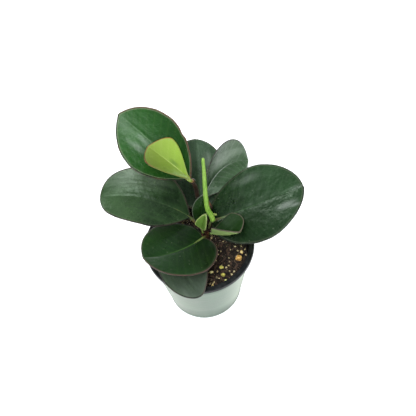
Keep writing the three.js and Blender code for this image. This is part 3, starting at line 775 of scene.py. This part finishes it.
def makeTopMaterial(name, leaf, seed):
    skin = leafSkin
    material, tree = newMaterial(name + "_top", leaf["fresh"], leaf["roughness"], **skin["specular"])
    distance, across, fromEdge = readLeafMap(tree)
    offMidrib = useMath(tree, "ABSOLUTE", across)
    length = leaf["length"] * 1000

    # soft streaks that run along the leaf
    pitchAlong, pitchAcross = skin["streakPitch"]
    stretched = addNode(
        tree, "CombineXYZ", Z=seed * 3.1,
        X=times(tree, distance, pitchAlong), Y=times(tree, across, pitchAcross),
    )
    streaks = addNode(tree, "TexNoise", Vector=stretched.outputs[0], Scale=1.0, Detail=2.0).outputs["Fac"]

    # painted shade: deep green near the stalk, where the plant's centre shades the leaves, fresher toward
    # the tip, with cloudy patches
    clouds = placeGroup(tree, mottle, Shift=seed, **skin["clouds"])
    outOfCentreShade = fade(tree, distance, 0.15 * length, 0.85 * length, 0, 1 - skin["cloudShare"])
    outOfCentreShade = useMath(tree, "ADD", outOfCentreShade, times(tree, clouds, skin["cloudShare"]))
    color = mixColor(tree, outOfCentreShade, leaf["deep"], leaf["fresh"])
    striped = fade(tree, streaks, 0.35, 0.65, 0, 0.5 * leaf["streaks"])
    color = mixColor(tree, striped, color, toned(leaf["fresh"], 1.5))
    color = dapple(tree, color, leaf["fresh"], Shift=seed, **skin["specks"])
    color = dapple(tree, color, skin["spotColor"], Shift=seed + 9, **skin["spots"])
    # painted highlights, sheen and shadow patches
    color = addPaintedLight(tree, leaf, color, distance, across, streaks)

    # side veins: faint arcs that leave the midrib and bend to the tip
    bend = times(tree, useMath(tree, "POWER", offMidrib, 0.8), skin["veinBend"])
    turn = times(tree, useMath(tree, "SUBTRACT", distance, bend), skin["veinPitch"])
    vein = fade(tree, useMath(tree, "SINE", turn), 0.5, 1.0, 0, skin["veinShare"])
    color = mixColor(tree, vein, color, leaf["rib"])

    # painted shade: one half may be darker than the other, and the midrib fades toward the tip
    turning = leaf["halfWidth"] * 1000 * leaf["paintedHalfReach"]
    shade = fade(tree, across, -turning, turning, leaf["sides"][1], leaf["sides"][0])
    color = mixColor(tree, useMath(tree, "SUBTRACT", 1.0, shade), color, toned(leaf["deep"], 0.1))
    midrib = fade(tree, offMidrib, *skin["midribFade"], leaf["ribTint"], 0)
    fading = spread(tree, distance, 0.35 * length, 0.75 * length, 1, 0.15)
    color = mixColor(tree, times(tree, midrib, fading), color, leaf["rib"])

    # a pale line just inside the colored margin, which is darker in places
    width = leaf["marginWidth"]
    offLine = useMath(tree, "ABSOLUTE", useMath(tree, "SUBTRACT", fromEdge, width + skin["lineInset"]))
    color = mixColor(tree, fade(tree, offLine, 0, 0.4, leaf["paleLine"], 0), color, skin["lineColor"])
    outline = spread(tree, across, -1.0, 1.0, leaf["outline"][1], leaf["outline"][0])
    # random patches where the dark outline is stronger or weaker
    edgePatches = placeGroup(tree, mottle, Shift=seed + 2, **skin["edgeMottle"])
    outline = times(tree, outline, spread(tree, edgePatches, 0, 1, 0.7, 1.2))
    margin = mixColor(tree, outline, leaf["margin"], skin["outlineColor"])
    edge = fade(tree, fromEdge, 0.45 * width, width, 0.94, 0)
    color = mixColor(tree, times(tree, edge, marginStrength(tree, leaf, distance)), color, margin)

    patches = placeGroup(tree, mottle, Shift=seed + 5, **skin["gloss"])
    smoother, rougher = (leaf["roughness"] + change for change in skin["glossSpread"])
    furrows = addNode(
        tree, "Bump", Strength=1.0, Distance=skin["streakDepth"] * leaf["streaks"],
        Height=streaks, Normal=placeGroup(tree, relief, **skin["bumps"]),
    )
    gloss = spread(tree, patches, 0, 1, smoother, rougher)
    return setShader(material, Base_Color=color, Roughness=gloss, Normal=furrows.outputs["Normal"])


def underColor(leaf):
    return blended(leaf["fresh"], leafSkin["underColor"], leafSkin["underShare"])


def makeUnderMaterial(name, leaf):
    pale = underColor(leaf)
    material, tree = newMaterial(name + "_under", pale, 0.55)
    clouds = placeGroup(tree, mottle, Scale=220.0, Detail=3.0)
    bumps = placeGroup(tree, relief, Cell_Scale=1500.0, Cell_Depth=0.2)
    return setShader(material, Base_Color=mixColor(tree, clouds, toned(pale, 0.8), pale), Normal=bumps)


def makeMarginMaterial(name, leaf):
    material, tree = newMaterial(name + "_margin", leaf["margin"], 0.45)
    clouds = placeGroup(tree, mottle, Scale=300.0, Detail=2.0)
    color = mixColor(tree, clouds, toned(leaf["margin"], 0.25), toned(leaf["margin"], 0.7))
    strength = marginStrength(tree, leaf, readLeafMap(tree)["X"])
    return setShader(material, Base_Color=mixColor(tree, strength, toned(leaf["fresh"], 0.6), color))


def makePetioleMaterial(name, leaf):
    # red-brown where it leaves the stem, green by the blade and as pale as the underside below it
    material, tree = newMaterial(name + "_petiole", (0.12, 0.2, 0.05), 0.42)
    part = readAttribute(tree, "tubePart")
    green = blended(leaf["fresh"], leafSkin["stalkColor"], leaf["stalkPale"])
    color = mixColor(tree, spread(tree, part, 0.05, 0.25), leaf["stalkTint"], green)
    color = mixColor(tree, spread(tree, part, 0.5, 0.62), color, underColor(leaf))
    color = dapple(tree, color, leafSkin["stalkStreaks"], 0.25, Scale=500.0, Detail=3.0)
    return setShader(material, Base_Color=color, Normal=placeGroup(tree, relief, Cell_Scale=1500.0))


def addLeaf(name, leaf, seed):
    top = makeTopMaterial(name, leaf, seed)
    bladePiece = addBlade(leaf, seed, (top, makeUnderMaterial(name, leaf), makeMarginMaterial(name, leaf)))
    petiole = addPetiole(leaf)
    petiole.data.materials.append(makePetioleMaterial(name, leaf))
    settle(joined([bladePiece, petiole]), "fine_" + name, leaf["slot"], name)


for leafSeed, (leafName, ownValues) in enumerate(leaves.items(), start=1):
    addLeaf(leafName, {**commonLeaf, **ownValues}, leafSeed)
print("leaves made:", len(leaves))

# pots

coverPot = {
    "height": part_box("cover_pot")[1].z,
    "mouthRadius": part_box("cover_pot")[1].x,
    "baseRadius": 0.0275,
    "wall": 0.0011,
    "floor": 0.0016,
    "baseEdge": 0.0008,
    "recess": 0.0006,  # how far the middle of the underside is clear of the table
    "recessRadius": 0.0205,
    "ringRadius": 0.0212,  # inner radius of the flat ring that it stands on
    "footHeight": 0.0036,
    "footStep": 0.00025,  # the wall is stepped in very slightly above its foot,
    "footSlope": 0.0004,  # over this height
    "wallRings": (0.02, 0.04, 0.055),
    "rimDrops": (0.0008, 0.0003),  # heights of the rim's slopes, outside and inside
    "rimEase": 0.0002,
    "bevel": 0.00025,
    "steps": 144,
    "color": (0.16, 0.215, 0.18),
    "cloudColors": ((0.127, 0.175, 0.137), (0.190, 0.250, 0.199)),
    "scuffColor": (0.38, 0.43, 0.37),
    "paleLines": (0.30, 0.26, 0.26),  # fine level lines
    "darkLines": (0.11, 0.18, 0.14),
    "lineStretch": (45, 45, 900),
    # painted warm reflected light on the left side
    "paintedWarmLightColor": (0.275, 0.240, 0.208),
    "footColor": (0.035, 0.10, 0.095),
    # painted sheen where the wall turns from view, stronger on its right
    "paintedEdgeLightColor": (0.58, 0.66, 0.54),
}

nurseryPot = {
    "bottom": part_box("nursery_pot")[0].z,
    "height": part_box("nursery_pot")[1].z,
    "lipRadius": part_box("nursery_pot")[1].x,
    "lipDrop": 0.0032,
    "lipThickness": 0.0009,
    "lipRound": 0.0007,
    "lipDish": 0.00012,  # the lip's top is very slightly hollow
    "dishInsets": (0.0016, 0.0012),  # from the lip's outer and inner edge
    "wall": 0.0009,
    "floor": 0.0012,
    "gap": 0.0014,  # from the cover pot's outside to the nursery pot's
    "drainRadius": 0.003,
    "drainCircle": 0.014,
    "drainHoles": 4,
    "steps": 144,
    "color": (0.010, 0.012, 0.016),
    "dustColors": ((0.005, 0.006, 0.007), (0.030, 0.032, 0.032)),
}

softAngle = math.radians(35)  # edges of the pots that turn less than this are shaded smooth


def coverRadius(z):
    return lerp(coverPot["baseRadius"], coverPot["mouthRadius"], z / coverPot["height"])


def makeCoverPotMaterial():
    pot = coverPot
    material, tree = newMaterial("paleGreenPlastic", pot["color"], 0.46, IOR=1.33)
    clouds = placeGroup(tree, mottle, Scale=45.0, Detail=4.0, Low=0.25, High=0.75)
    color = mixColor(tree, clouds, *pot["cloudColors"])
    color = dapple(tree, color, pot["scuffColor"], 0.18, Scale=700.0, Detail=5.0, Low=0.6, High=0.8)
    given = addNode(tree, "TexCoord").outputs["Object"]
    place = splitVector(tree, given)
    flat = addNode(tree, "Mapping", Scale=pot["lineStretch"], Vector=given).outputs[0]
    lines = addNode(tree, "TexNoise", Scale=1.0, Detail=3.0, Vector=flat).outputs["Fac"]
    color = mixColor(tree, spread(tree, lines, 0.5, 0.75, 0, 0.3), color, pot["paleLines"])
    color = mixColor(tree, spread(tree, lines, 0.3, 0.5, 0.22, 0), color, pot["darkLines"])
    # painted light: a warmer, paler left side as painted warm reflected light, a deeper foot, and a paler
    # look as painted sheen where the wall turns away, stronger on its right side
    color = mixColor(tree, fade(tree, place["X"], -0.034, 0.008, 0.32, 0), color, pot["paintedWarmLightColor"])
    color = mixColor(tree, fade(tree, place["Z"], 0.0012, 0.0040, 0.7, 0), color, pot["footColor"])
    paintedEdgeLight = fade(tree, addNode(tree, "LayerWeight", Blend=0.5).outputs["Facing"], 0.66, 0.90, 0, 0.65)
    paintedEdgeLight = times(tree, paintedEdgeLight, spread(tree, place["X"], -0.01, 0.02, 0.5, 1))
    color = mixColor(tree, paintedEdgeLight, color, pot["paintedEdgeLightColor"])
    bumps = placeGroup(tree, relief, Cell_Scale=2600.0, Cell_Depth=0.10, Wave_Scale=90.0, Wave_Depth=0.2)
    gloss = spread(tree, clouds, 0, 1, 0.42, 0.56)
    return setShader(material, Base_Color=color, Roughness=gloss, Normal=bumps)


def addCoverPot():
    height, wall, floor, ease = (coverPot[key] for key in ("height", "wall", "floor", "rimEase"))
    edge, recess, foot, step = (coverPot[key] for key in ("baseEdge", "recess", "footHeight", "footStep"))
    rim = coverRadius(height)
    outerDrop, innerDrop = coverPot["rimDrops"]
    profile = [(0, recess), (coverPot["recessRadius"], recess), (coverPot["ringRadius"], 0)]
    profile += [(coverRadius(0) - edge, 0), (coverRadius(edge), edge)]
    profile += [(coverRadius(foot), foot), (coverRadius(foot) - step, foot + coverPot["footSlope"])]
    profile += [(coverRadius(z) - step, z) for z in coverPot["wallRings"]]
    profile += [(rim - ease, height - outerDrop), (rim - 2 * ease, height)]
    profile += [(rim - wall + ease, height), (rim - wall, height - innerDrop)]
    profile += [(coverRadius(floor) - wall, floor), (0, floor)]
    piece = lathe(profile, coverPot["steps"])
    applyModifier(
        piece, "BEVEL", width=coverPot["bevel"], segments=2,
        limit_method="ANGLE", angle_limit=math.radians(25),
    )
    bpy.ops.object.shade_smooth_by_angle(angle=softAngle)
    piece.data.materials.append(makeCoverPotMaterial())
    settle(piece, "fine_cover_pot", "cover_pot", "cover_pot")


def roundedEdge(x, z, radius, start):
    # points on a quarter circle about x and z, from the angle start, without its two ends
    turns = [start + math.pi / 2 * k / 5 for k in range(1, 5)]
    return [(x + radius * math.cos(turn), z + radius * math.sin(turn)) for turn in turns]


def makeNurseryPotMaterial():
    material, tree = newMaterial("darkPlastic", nurseryPot["color"], 0.42, IOR=1.26)
    dust = placeGroup(tree, mottle, Scale=260.0, Detail=5.0, Low=0.45, High=0.75)
    color = mixColor(tree, times(tree, dust, 0.6), *nurseryPot["dustColors"])
    bumps = placeGroup(tree, relief, Cell_Scale=2200.0, Cell_Depth=0.15, Wave_Scale=120.0, Wave_Depth=0.25)
    gloss = spread(tree, dust, 0, 1, 0.34, 0.58)
    return setShader(material, Base_Color=color, Roughness=gloss, Normal=bumps)


def addNurseryPot():
    pot = nurseryPot
    bottom, height, lip, lipRound = (pot[key] for key in ("bottom", "height", "lipRadius", "lipRound"))
    under = height - pot["lipThickness"]
    lipInside = lip - pot["lipThickness"]
    lipBottom = height - pot["lipDrop"]
    dished = height - pot["lipDish"]
    outerInset, innerInset = pot["dishInsets"]
    floor = bottom + pot["floor"]

    def outside(z):
        return coverRadius(z) - pot["gap"]

    inner = outside(height) - pot["wall"]
    profile = [(0, bottom), (outside(bottom), bottom), (outside(under), under)]
    profile += [(lipInside, under), (lipInside, lipBottom), (lip, lipBottom), (lip, height - lipRound)]
    profile += roundedEdge(lip - lipRound, height - lipRound, lipRound, 0)
    profile += [(lip - lipRound, height), (lip - outerInset, dished)]
    profile += [(inner + innerInset, dished), (inner + lipRound, height)]
    profile += roundedEdge(inner + lipRound, height - lipRound, lipRound, math.pi / 2)
    profile += [(inner, height - lipRound), (outside(floor) - pot["wall"], floor), (0, floor)]
    piece = lathe(profile, pot["steps"])
    for k in range(pot["drainHoles"]):
        turn = math.radians(45 + 360 / pot["drainHoles"] * k)
        clearSelection()
        bpy.ops.mesh.primitive_cylinder_add(
            vertices=32, radius=pot["drainRadius"], depth=0.005,
            location=(pot["drainCircle"] * math.cos(turn), pot["drainCircle"] * math.sin(turn), bottom),
        )
        cutter = bpy.context.object
        applyModifier(piece, "BOOLEAN", object=cutter, operation="DIFFERENCE", solver="EXACT")
        bpy.data.objects.remove(cutter)
    pick(piece)
    bpy.ops.object.shade_smooth_by_angle(angle=softAngle)
    piece.data.materials.append(makeNurseryPotMaterial())
    settle(piece, "fine_nursery_pot", "nursery_pot", "nursery_pot")


addCoverPot()
addNurseryPot()
print("pots made")

# soil, with its bark, fibres and grit

soil = {
    "bottom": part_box("soil")[0].z,
    "level": 0.0598,
    "radius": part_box("soil")[1].x,
    "bottomInset": 0.0026,  # from the cover pot's outside
    "edgeInset": 0.0003,
    "edgeDrop": 0.0006,
    "fall": 0.02,  # slope toward the edge
    "lumpHeight": 0.0007,
    "lumpLength": 0.0052,
    "rings": 46,
    "steps": 200,
    "colors": ((0.004, 0.0025, 0.002), (0.022, 0.013, 0.009)),
    "roughness": 0.95,
    "grain": 900.0,  # patches of color per metre
    "bitsGrain": 380.0,  # the same on the bits
    "bitsInset": 0.0012,
    "bitsTilt": (0.7, 0.5),
    "chipReach": (0.75, 1.15),  # how far a rough chip's corners reach, in half sizes
    "fibreSway": 0.25,  # a fibre's bends and thickness, in half sizes too
    "fibreRise": (-0.05, 0.12),
    "fibreRadii": [0.05, 0.075, 0.07, 0.04],
}

# what lies on the soil: how many, half sizes, how high each one sits, colors and the shape it is taken from
soilBits = {
    "soil_peat": {
        "count": 1500, "sizes": (0.00025, 0.0010), "raise": 0.15, "shape": "lump", "roughness": 0.9,
        "dark": (0.006, 0.004, 0.003), "light": (0.035, 0.021, 0.013), "slot": "soil",
    },
    "soil_crumbs": {
        "count": 900, "sizes": (0.0002, 0.0007), "raise": 0.35, "shape": "lump", "roughness": 0.85,
        "dark": (0.030, 0.017, 0.010), "light": (0.11, 0.070, 0.046), "slot": "soil",
    },
    "soil_bark": {
        "count": 420, "sizes": (0.0005, 0.0017), "raise": 0.2, "shape": "slab", "roughness": 0.8,
        "dark": (0.012, 0.007, 0.005), "light": (0.085, 0.045, 0.027), "slot": "soil",
    },
    "soil_fibres": {
        "count": 240, "sizes": (0.0008, 0.0026), "raise": 0.12, "shape": "strand", "roughness": 0.8,
        "dark": (0.12, 0.075, 0.045), "light": (0.24, 0.165, 0.11), "slot": "soil",
    },
    "soil_grit": {
        "count": 200, "sizes": (0.0002, 0.0009), "raise": 0.45, "shape": "lump", "roughness": 0.7,
        "dark": (0.42, 0.31, 0.14), "light": (0.92, 0.78, 0.44), "slot": "granules",
    },
    "soil_specks": {
        "count": 220, "sizes": (0.00014, 0.00042), "raise": 0.6, "shape": "lump", "roughness": 0.7,
        "dark": (0.55, 0.48, 0.36), "light": (0.92, 0.86, 0.72), "slot": "granules",
    },
}

# grains of the grit that lie in places of their own: x, y and half size
pebbles = [
    (0.016, -0.018, 0.0009), (0.014, -0.005, 0.0007), (0.012, -0.007, 0.0006), (0.019, -0.011, 0.0006),
    (0.004, -0.020, 0.0008), (0.0095, -0.020, 0.0010), (0.019, -0.024, 0.0008), (0.021, -0.022, 0.0008),
    (0.031, -0.010, 0.0008), (0.018, -0.021, 0.0007), (0.010, -0.0255, 0.0008), (0.0035, -0.0285, 0.0007),
    (0.003, 0.008, 0.0009), (0.006, 0.0075, 0.0008), (0.009, 0.007, 0.0010), (0.008, 0.005, 0.0007),
]


def soilHeight(x, y):
    big = noise.noise(Vector((x, y, 0)) / soil["lumpLength"])
    small = noise.noise(Vector((x, y, 0.3)) / (soil["lumpLength"] * 0.3))
    return soil["level"] + soil["lumpHeight"] * (1.3 * big + 0.6 * small) - soil["fall"] * math.hypot(x, y)


def makeBitMaterial(name, dark, light, roughness, scale):
    material, tree = newMaterial(name, light, roughness)
    clouds = placeGroup(tree, mottle, Scale=scale, Detail=4.0, Low=0.3, High=0.7)
    bumps = placeGroup(tree, relief, Cell_Scale=1600.0, Cell_Depth=0.6, Wave_Scale=900.0, Wave_Depth=0.8)
    return setShader(material, Base_Color=mixColor(tree, clouds, dark, light), Normal=bumps)


def addSoilBody():
    edge, level, bottom, rings = (soil[key] for key in ("radius", "level", "bottom", "rings"))
    profile = [(0, bottom), (coverRadius(bottom) - soil["bottomInset"], bottom)]
    profile += [(edge, level - soil["edgeDrop"])]
    profile += [((edge - soil["edgeInset"]) * k / rings, level) for k in range(rings, -1, -1)]
    piece = lathe(profile, soil["steps"])
    for vertex in piece.data.vertices:
        x, y, z = vertex.co
        if z > level - soil["edgeDrop"] / 2:
            vertex.co.z = soilHeight(x, y)
    finish = (*soil["colors"], soil["roughness"], soil["grain"])
    piece.data.materials.append(makeBitMaterial("darkPeat", *finish))
    settle(piece, "fine_soil", "soil", "soil")


def drawPlaces(count, sizes, draw):
    places = []
    for k in range(count):
        reach = (soil["radius"] - soil["bitsInset"]) * math.sqrt(draw.random())
        turn = draw.uniform(0, 2 * math.pi)
        places.append((reach * math.cos(turn), reach * math.sin(turn), lerp(*sizes, draw.random() ** 2)))
    return places


def scatter(prototypes, places, draw, lift):
    # copies of the prototypes lie about on the soil at the places given, joined as one piece
    vertices, faces = [], []
    tiltX, tiltY = soil["bitsTilt"]
    for k, (x, y, size) in enumerate(places):
        shape = prototypes[k % len(prototypes)]
        tilt = Matrix.Rotation(draw.uniform(-tiltX, tiltX), 3, "X")
        tilt = tilt @ Matrix.Rotation(draw.uniform(-tiltY, tiltY), 3, "Y")
        spin = Matrix.Rotation(draw.uniform(0, 2 * math.pi), 3, "Z")
        place = Vector((x, y, soilHeight(x, y) + lift * size))
        first = len(vertices)
        for vertex in shape.data.vertices:
            vertices.append(spin @ tilt @ (vertex.co * size) + place)
        faces += [[first + index for index in face.vertices] for face in shape.data.polygons]
    mesh = bpy.data.meshes.new("scatter")
    mesh.from_pydata(vertices, [], faces)
    piece = bpy.data.objects.new("scatter", mesh)
    bpy.context.collection.objects.link(piece)
    return piece


def addChipShapes(count, stretch, seed):
    # rough angular shapes that the scattered copies are taken from
    shapes = []
    draw = random.Random(seed)
    for k in range(count):
        clearSelection()
        bpy.ops.mesh.primitive_ico_sphere_add(subdivisions=1, radius=1)
        shape = bpy.context.object
        for vertex in shape.data.vertices:
            vertex.co = vertex.co * draw.uniform(*soil["chipReach"])
            vertex.co = [place * share for place, share in zip(vertex.co, stretch)]
        shapes.append(shape)
    return shapes


def addFibreShapes(count, seed):
    draw = random.Random(seed)
    sway, rise = soil["fibreSway"], soil["fibreRise"]
    shapes = []
    for k in range(count):
        path = [(x, draw.uniform(-sway, sway), draw.uniform(*rise)) for x in (-1, -0.4, 0.3, 1)]
        shapes.append(addTube(path, soil["fibreRadii"], count=8, roundness=0))
    return shapes


def addSoilBits():
    draw = random.Random(7)
    shapes = {
        "lump": addChipShapes(6, (1.0, 0.8, 0.7), 3),
        "slab": addChipShapes(5, (1.5, 0.75, 0.35), 5),
        "strand": addFibreShapes(5, 8),
    }
    for name, bits in soilBits.items():
        places = drawPlaces(bits["count"], bits["sizes"], draw)
        if name == "soil_grit":
            places += pebbles
        piece = scatter(shapes[bits["shape"]], places, draw, bits["raise"])
        finish = (bits["dark"], bits["light"], bits["roughness"], soil["bitsGrain"])
        piece.data.materials.append(makeBitMaterial(name + "_grain", *finish))
        settle(piece, name, bits["slot"])
    for group in shapes.values():
        for shape in group:
            bpy.data.objects.remove(shape)


addSoilBody()
addSoilBits()
print("soil made")

# pale granules

granules = {
    "granule_large": {"dark": (0.70, 0.30, 0.06), "light": (1.0, 0.68, 0.22), "seed": 11},
    "granule_rim": {"dark": (0.74, 0.42, 0.10), "light": (1.0, 0.80, 0.36), "seed": 12},
    "granule_front": {"dark": (0.34, 0.32, 0.05), "light": (0.80, 0.72, 0.16), "seed": 13},
    "granule_yellow": {"dark": (0.44, 0.40, 0.06), "light": (0.92, 0.84, 0.22), "seed": 14},
    "granule_low": {"dark": (0.76, 0.70, 0.14), "light": (1.0, 1.0, 0.42), "seed": 15},
    "granule_left": {"dark": (0.76, 0.56, 0.18), "light": (1.0, 0.92, 0.46), "seed": 16},
    "granule_right": {"dark": (0.72, 0.56, 0.14), "light": (1.0, 0.90, 0.38), "seed": 17},
    "granule_edge": {"dark": (0.78, 0.52, 0.16), "light": (1.0, 0.88, 0.42), "seed": 18},
    "granule_grey": {"dark": (0.10, 0.075, 0.04), "light": (0.30, 0.24, 0.14), "seed": 19},
}

granuleShape = {
    "cuts": 14,  # flat faces that break its roundness,
    "cutDepths": (0.74, 0.95),  # at these shares of its half size
    "unevenness": 0.035,
    "fill": 0.98,  # of the room that it has
    "roughness": 0.7,
    "grain": 700.0,  # patches of color per metre
}


def addGranule(name, looks):
    low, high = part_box(name)
    center, half = (low + high) / 2, (high - low) / 2
    draw = random.Random(looks["seed"])
    clearSelection()
    bpy.ops.mesh.primitive_ico_sphere_add(subdivisions=4, radius=1)
    piece = bpy.context.object
    cuts = [Vector([draw.gauss(0, 1) for axis in range(3)]) for cut in range(granuleShape["cuts"])]
    cuts = [cut.normalized() for cut in cuts]
    depths = [draw.uniform(*granuleShape["cutDepths"]) for cut in cuts]
    for vertex in piece.data.vertices:
        toward = vertex.co.normalized()
        reach = min(1.0, *(depth / max(cut.dot(toward), 0.1) for cut, depth in zip(cuts, depths)))
        reach += granuleShape["unevenness"] * noise.noise(toward * 4 + Vector((looks["seed"], 0, 0)))
        reach *= granuleShape["fill"]
        vertex.co = [center[axis] + half[axis] * toward[axis] * reach for axis in range(3)]
    applyModifier(piece, "SMOOTH", factor=0.5, iterations=2)
    bpy.ops.object.shade_smooth()
    finish = (looks["dark"], looks["light"], granuleShape["roughness"], granuleShape["grain"])
    piece.data.materials.append(makeBitMaterial(name + "_grain", *finish))
    settle(piece, "fine_" + name, "granules", name)


for granuleName, granuleLooks in granules.items():
    addGranule(granuleName, granuleLooks)
print("granules made:", len(granules))

# stem, spike and bud

stem = {
    "path": [
        (0.0058, 0.0066, 0.052), (0.0057, 0.0074, 0.060), (0.0039, 0.0102, 0.068), (0.0034, 0.0168, 0.079),
        (0.0029, 0.0220, 0.089), (0.0024, 0.0236, 0.099), (0.0007, 0.0204, 0.112),
    ],
    "radii": [0.002, 0.0019, 0.00175, 0.0017, 0.0016, 0.0015, 0.0014],
    "shoot": [
        (0.0055, 0.008, 0.062), (0.0086, 0.011, 0.0695), (0.0074, 0.0156, 0.0746), (0.011, 0.0204, 0.0785),
    ],
    "shootRadii": [0.0015, 0.00135, 0.0012, 0.0011],
    "joints": [
        ((0.0039, 0.0102, 0.068), 0.00215), ((0.0007, 0.0204, 0.1122), 0.00195),
        ((0.0086, 0.011, 0.0695), 0.00175), ((0.011, 0.0204, 0.0785), 0.00145),
    ],
    "jointDepth": 0.06,  # how uneven the joints are, as a share of their radius
    "jointPitch": 900,  # per metre
    "knobs": ((0.05, 61, 0), (0.03, 143, 1)),  # waves of its radius: depth, pitch over the length and start
    "colors": ((0.012, 0.006, 0.004), (0.046, 0.020, 0.012)),
    "grain": 260.0,  # patches of color per metre
}

spike = {
    "path": [
        (0.0112, 0.0046, 0.0845), (0.0102, 0.0072, 0.089), (0.0084, 0.009, 0.0935), (0.008, 0.013, 0.1045),
        (0.0087, 0.0189, 0.120), (0.0091, 0.0224, 0.1325),
    ],
    "radii": [0.00185, 0.00175, 0.0016, 0.0014, 0.0012, 0.001],
    "steps": 120,
    "rounded": 0.035,  # share of the length over which each end is rounded off,
    "bluntness": 0.12,  # to this share of the radius
    "grooves": 9,
    "grooveDepth": 0.05,  # share of the radius
    "beadDepth": 0.025,
    "beadPitch": 2600,  # per metre
    "stalk": [
        (0.0086, 0.011, 0.0695), (0.0078, 0.0077, 0.073), (0.0087, 0.0065, 0.079), (0.0104, 0.0064, 0.0855),
    ],
    "stalkRadii": [0.0009, 0.0008, 0.0008, 0.0008],
    "stalkColors": ((0.10, 0.12, 0.04), (0.22, 0.26, 0.09)),
    "color": (0.36, 0.58, 0.14),
    "grooveColors": ((0.27, 0.49, 0.065), (0.085, 0.23, 0.02)),
    "patchColor": (0.40, 0.61, 0.11),
    "ringColor": (0.52, 0.68, 0.28),  # a pale ring round its lower end, which is dark
    "endColor": (0.12, 0.20, 0.04),
}

bud = {
    "path": [
        (0.0074, 0.0156, 0.0746), (0.0114, 0.0138, 0.079), (0.0134, 0.0114, 0.0824),
        (0.0137, 0.0108, 0.0836),
    ],
    "radii": [0.0005, 0.0006, 0.00115, 0.0005],
    "color": (0.5, 0.62, 0.14),
    "colors": ((0.16, 0.14, 0.04), (0.52, 0.68, 0.16)),  # from its foot to its tip
    "patchColor": (0.65, 0.78, 0.30),
}


def makeBarkMaterial(name, dark, light):
    material, tree = newMaterial(name, light, 0.5)
    grain = stem["grain"]
    patches = placeGroup(tree, mottle, Scale=grain, Detail=4.0, Low=0.3, High=0.7)
    color = mixColor(tree, patches, dark, light)
    color = dapple(tree, color, toned(light, 1.8), 0.45, Scale=grain * 5, Detail=2.0, Low=0.6, High=0.72)
    bumps = placeGroup(tree, relief, Cell_Scale=1400.0, Cell_Depth=0.35, Wave_Scale=500.0, Wave_Depth=0.5)
    return setShader(material, Base_Color=color, Normal=bumps)


def addStem():
    def knobbly(part):
        return 1 + sum(depth * math.sin(part * pitch + start) for depth, pitch, start in stem["knobs"])

    parts = [
        addTube(stem["path"], stem["radii"], count=70, roundness=6, shape=knobbly),
        addTube(stem["shoot"], stem["shootRadii"], count=34, roundness=6, shape=knobbly),
    ]
    for center, radius in stem["joints"]:
        clearSelection()
        bpy.ops.mesh.primitive_uv_sphere_add(segments=32, ring_count=16, radius=radius, location=center)
        joint = bpy.context.object
        for vertex in joint.data.vertices:
            bump = noise.noise((vertex.co + Vector(center)) * stem["jointPitch"])
            vertex.co *= 1 + stem["jointDepth"] * bump
        bpy.ops.object.shade_smooth()
        parts.append(joint)
    piece = joined(parts)
    piece.data.materials.append(makeBarkMaterial("redBrownStem", *stem["colors"]))
    settle(piece, "fine_stem", "stem", "stem")


def makeSpikeMaterial():
    material, tree = newMaterial("greenSpike", spike["color"], 0.42)
    color = mixColor(tree, readAttribute(tree, "groove"), *spike["grooveColors"])
    color = dapple(tree, color, spike["patchColor"], 0.4, Scale=350.0, Detail=3.0)
    part = readAttribute(tree, "tubePart")
    color = mixColor(tree, spread(tree, part, 0.012, 0.03, 0.6, 0), color, spike["ringColor"])
    color = mixColor(tree, spread(tree, part, 0.004, 0.011, 0.8, 0), color, spike["endColor"])
    bumps = placeGroup(tree, relief, Cell_Scale=2400.0, Cell_Depth=0.4, Wave_Scale=900.0, Wave_Depth=0.3)
    return setShader(material, Base_Color=color, Normal=bumps)


def addSpike():
    def blunt(part):
        fromEnd = min(part, 1 - part) / spike["rounded"]
        return max(spike["bluntness"], math.sqrt(max(0.0, 1 - (1 - min(fromEnd, 1)) ** 2)))

    steps = spike["steps"]
    tube = addTube(spike["path"], spike["radii"], count=steps, roundness=14, shape=blunt)
    path = smoothPath(spike["path"], steps)
    grooves = tube.data.attributes.new("groove", "FLOAT", "POINT")
    for vertex in tube.data.vertices:
        k = nearestStep(path, vertex.co)
        ahead = (path[min(k + 1, steps)] - path[max(k - 1, 0)]).normalized()
        side = (Vector((1, 0, 0)) - ahead * ahead.x).normalized()
        outward = vertex.co - path[k] - ahead * (vertex.co - path[k]).dot(ahead)
        angle = math.atan2(outward.dot(ahead.cross(side)), outward.dot(side))
        groove = 0.5 + 0.5 * math.cos(spike["grooves"] * angle)
        grooves.data[vertex.index].value = groove
        bead = noise.noise(vertex.co * spike["beadPitch"])
        vertex.co -= outward * (spike["grooveDepth"] * groove + spike["beadDepth"] * bead)
    stalk = addTube(spike["stalk"], spike["stalkRadii"], count=30)
    tube.data.materials.append(makeSpikeMaterial())
    stalk.data.materials.append(makeBarkMaterial("spikeStalk", *spike["stalkColors"]))
    settle(joined([tube, stalk]), "fine_flower_spike", "flower_spike", "flower_spike")


def addBud():
    piece = addTube(bud["path"], bud["radii"], count=30, roundness=5)
    material, tree = newMaterial("budGreen", bud["color"], 0.45)
    color = mixColor(tree, spread(tree, readAttribute(tree, "tubePart"), 0.3, 0.9), *bud["colors"])
    color = dapple(tree, color, bud["patchColor"], 0.3, Scale=600.0, Detail=3.0)
    setShader(material, Base_Color=color)
    piece.data.materials.append(material)
    settle(piece, "fine_bud", "flower_spike", "bud")


addStem()
addSpike()
addBud()
print("stem, spike and bud made")

bpy.context.scene.view_settings.view_transform = "Standard"
bpy.context.view_layer.update()
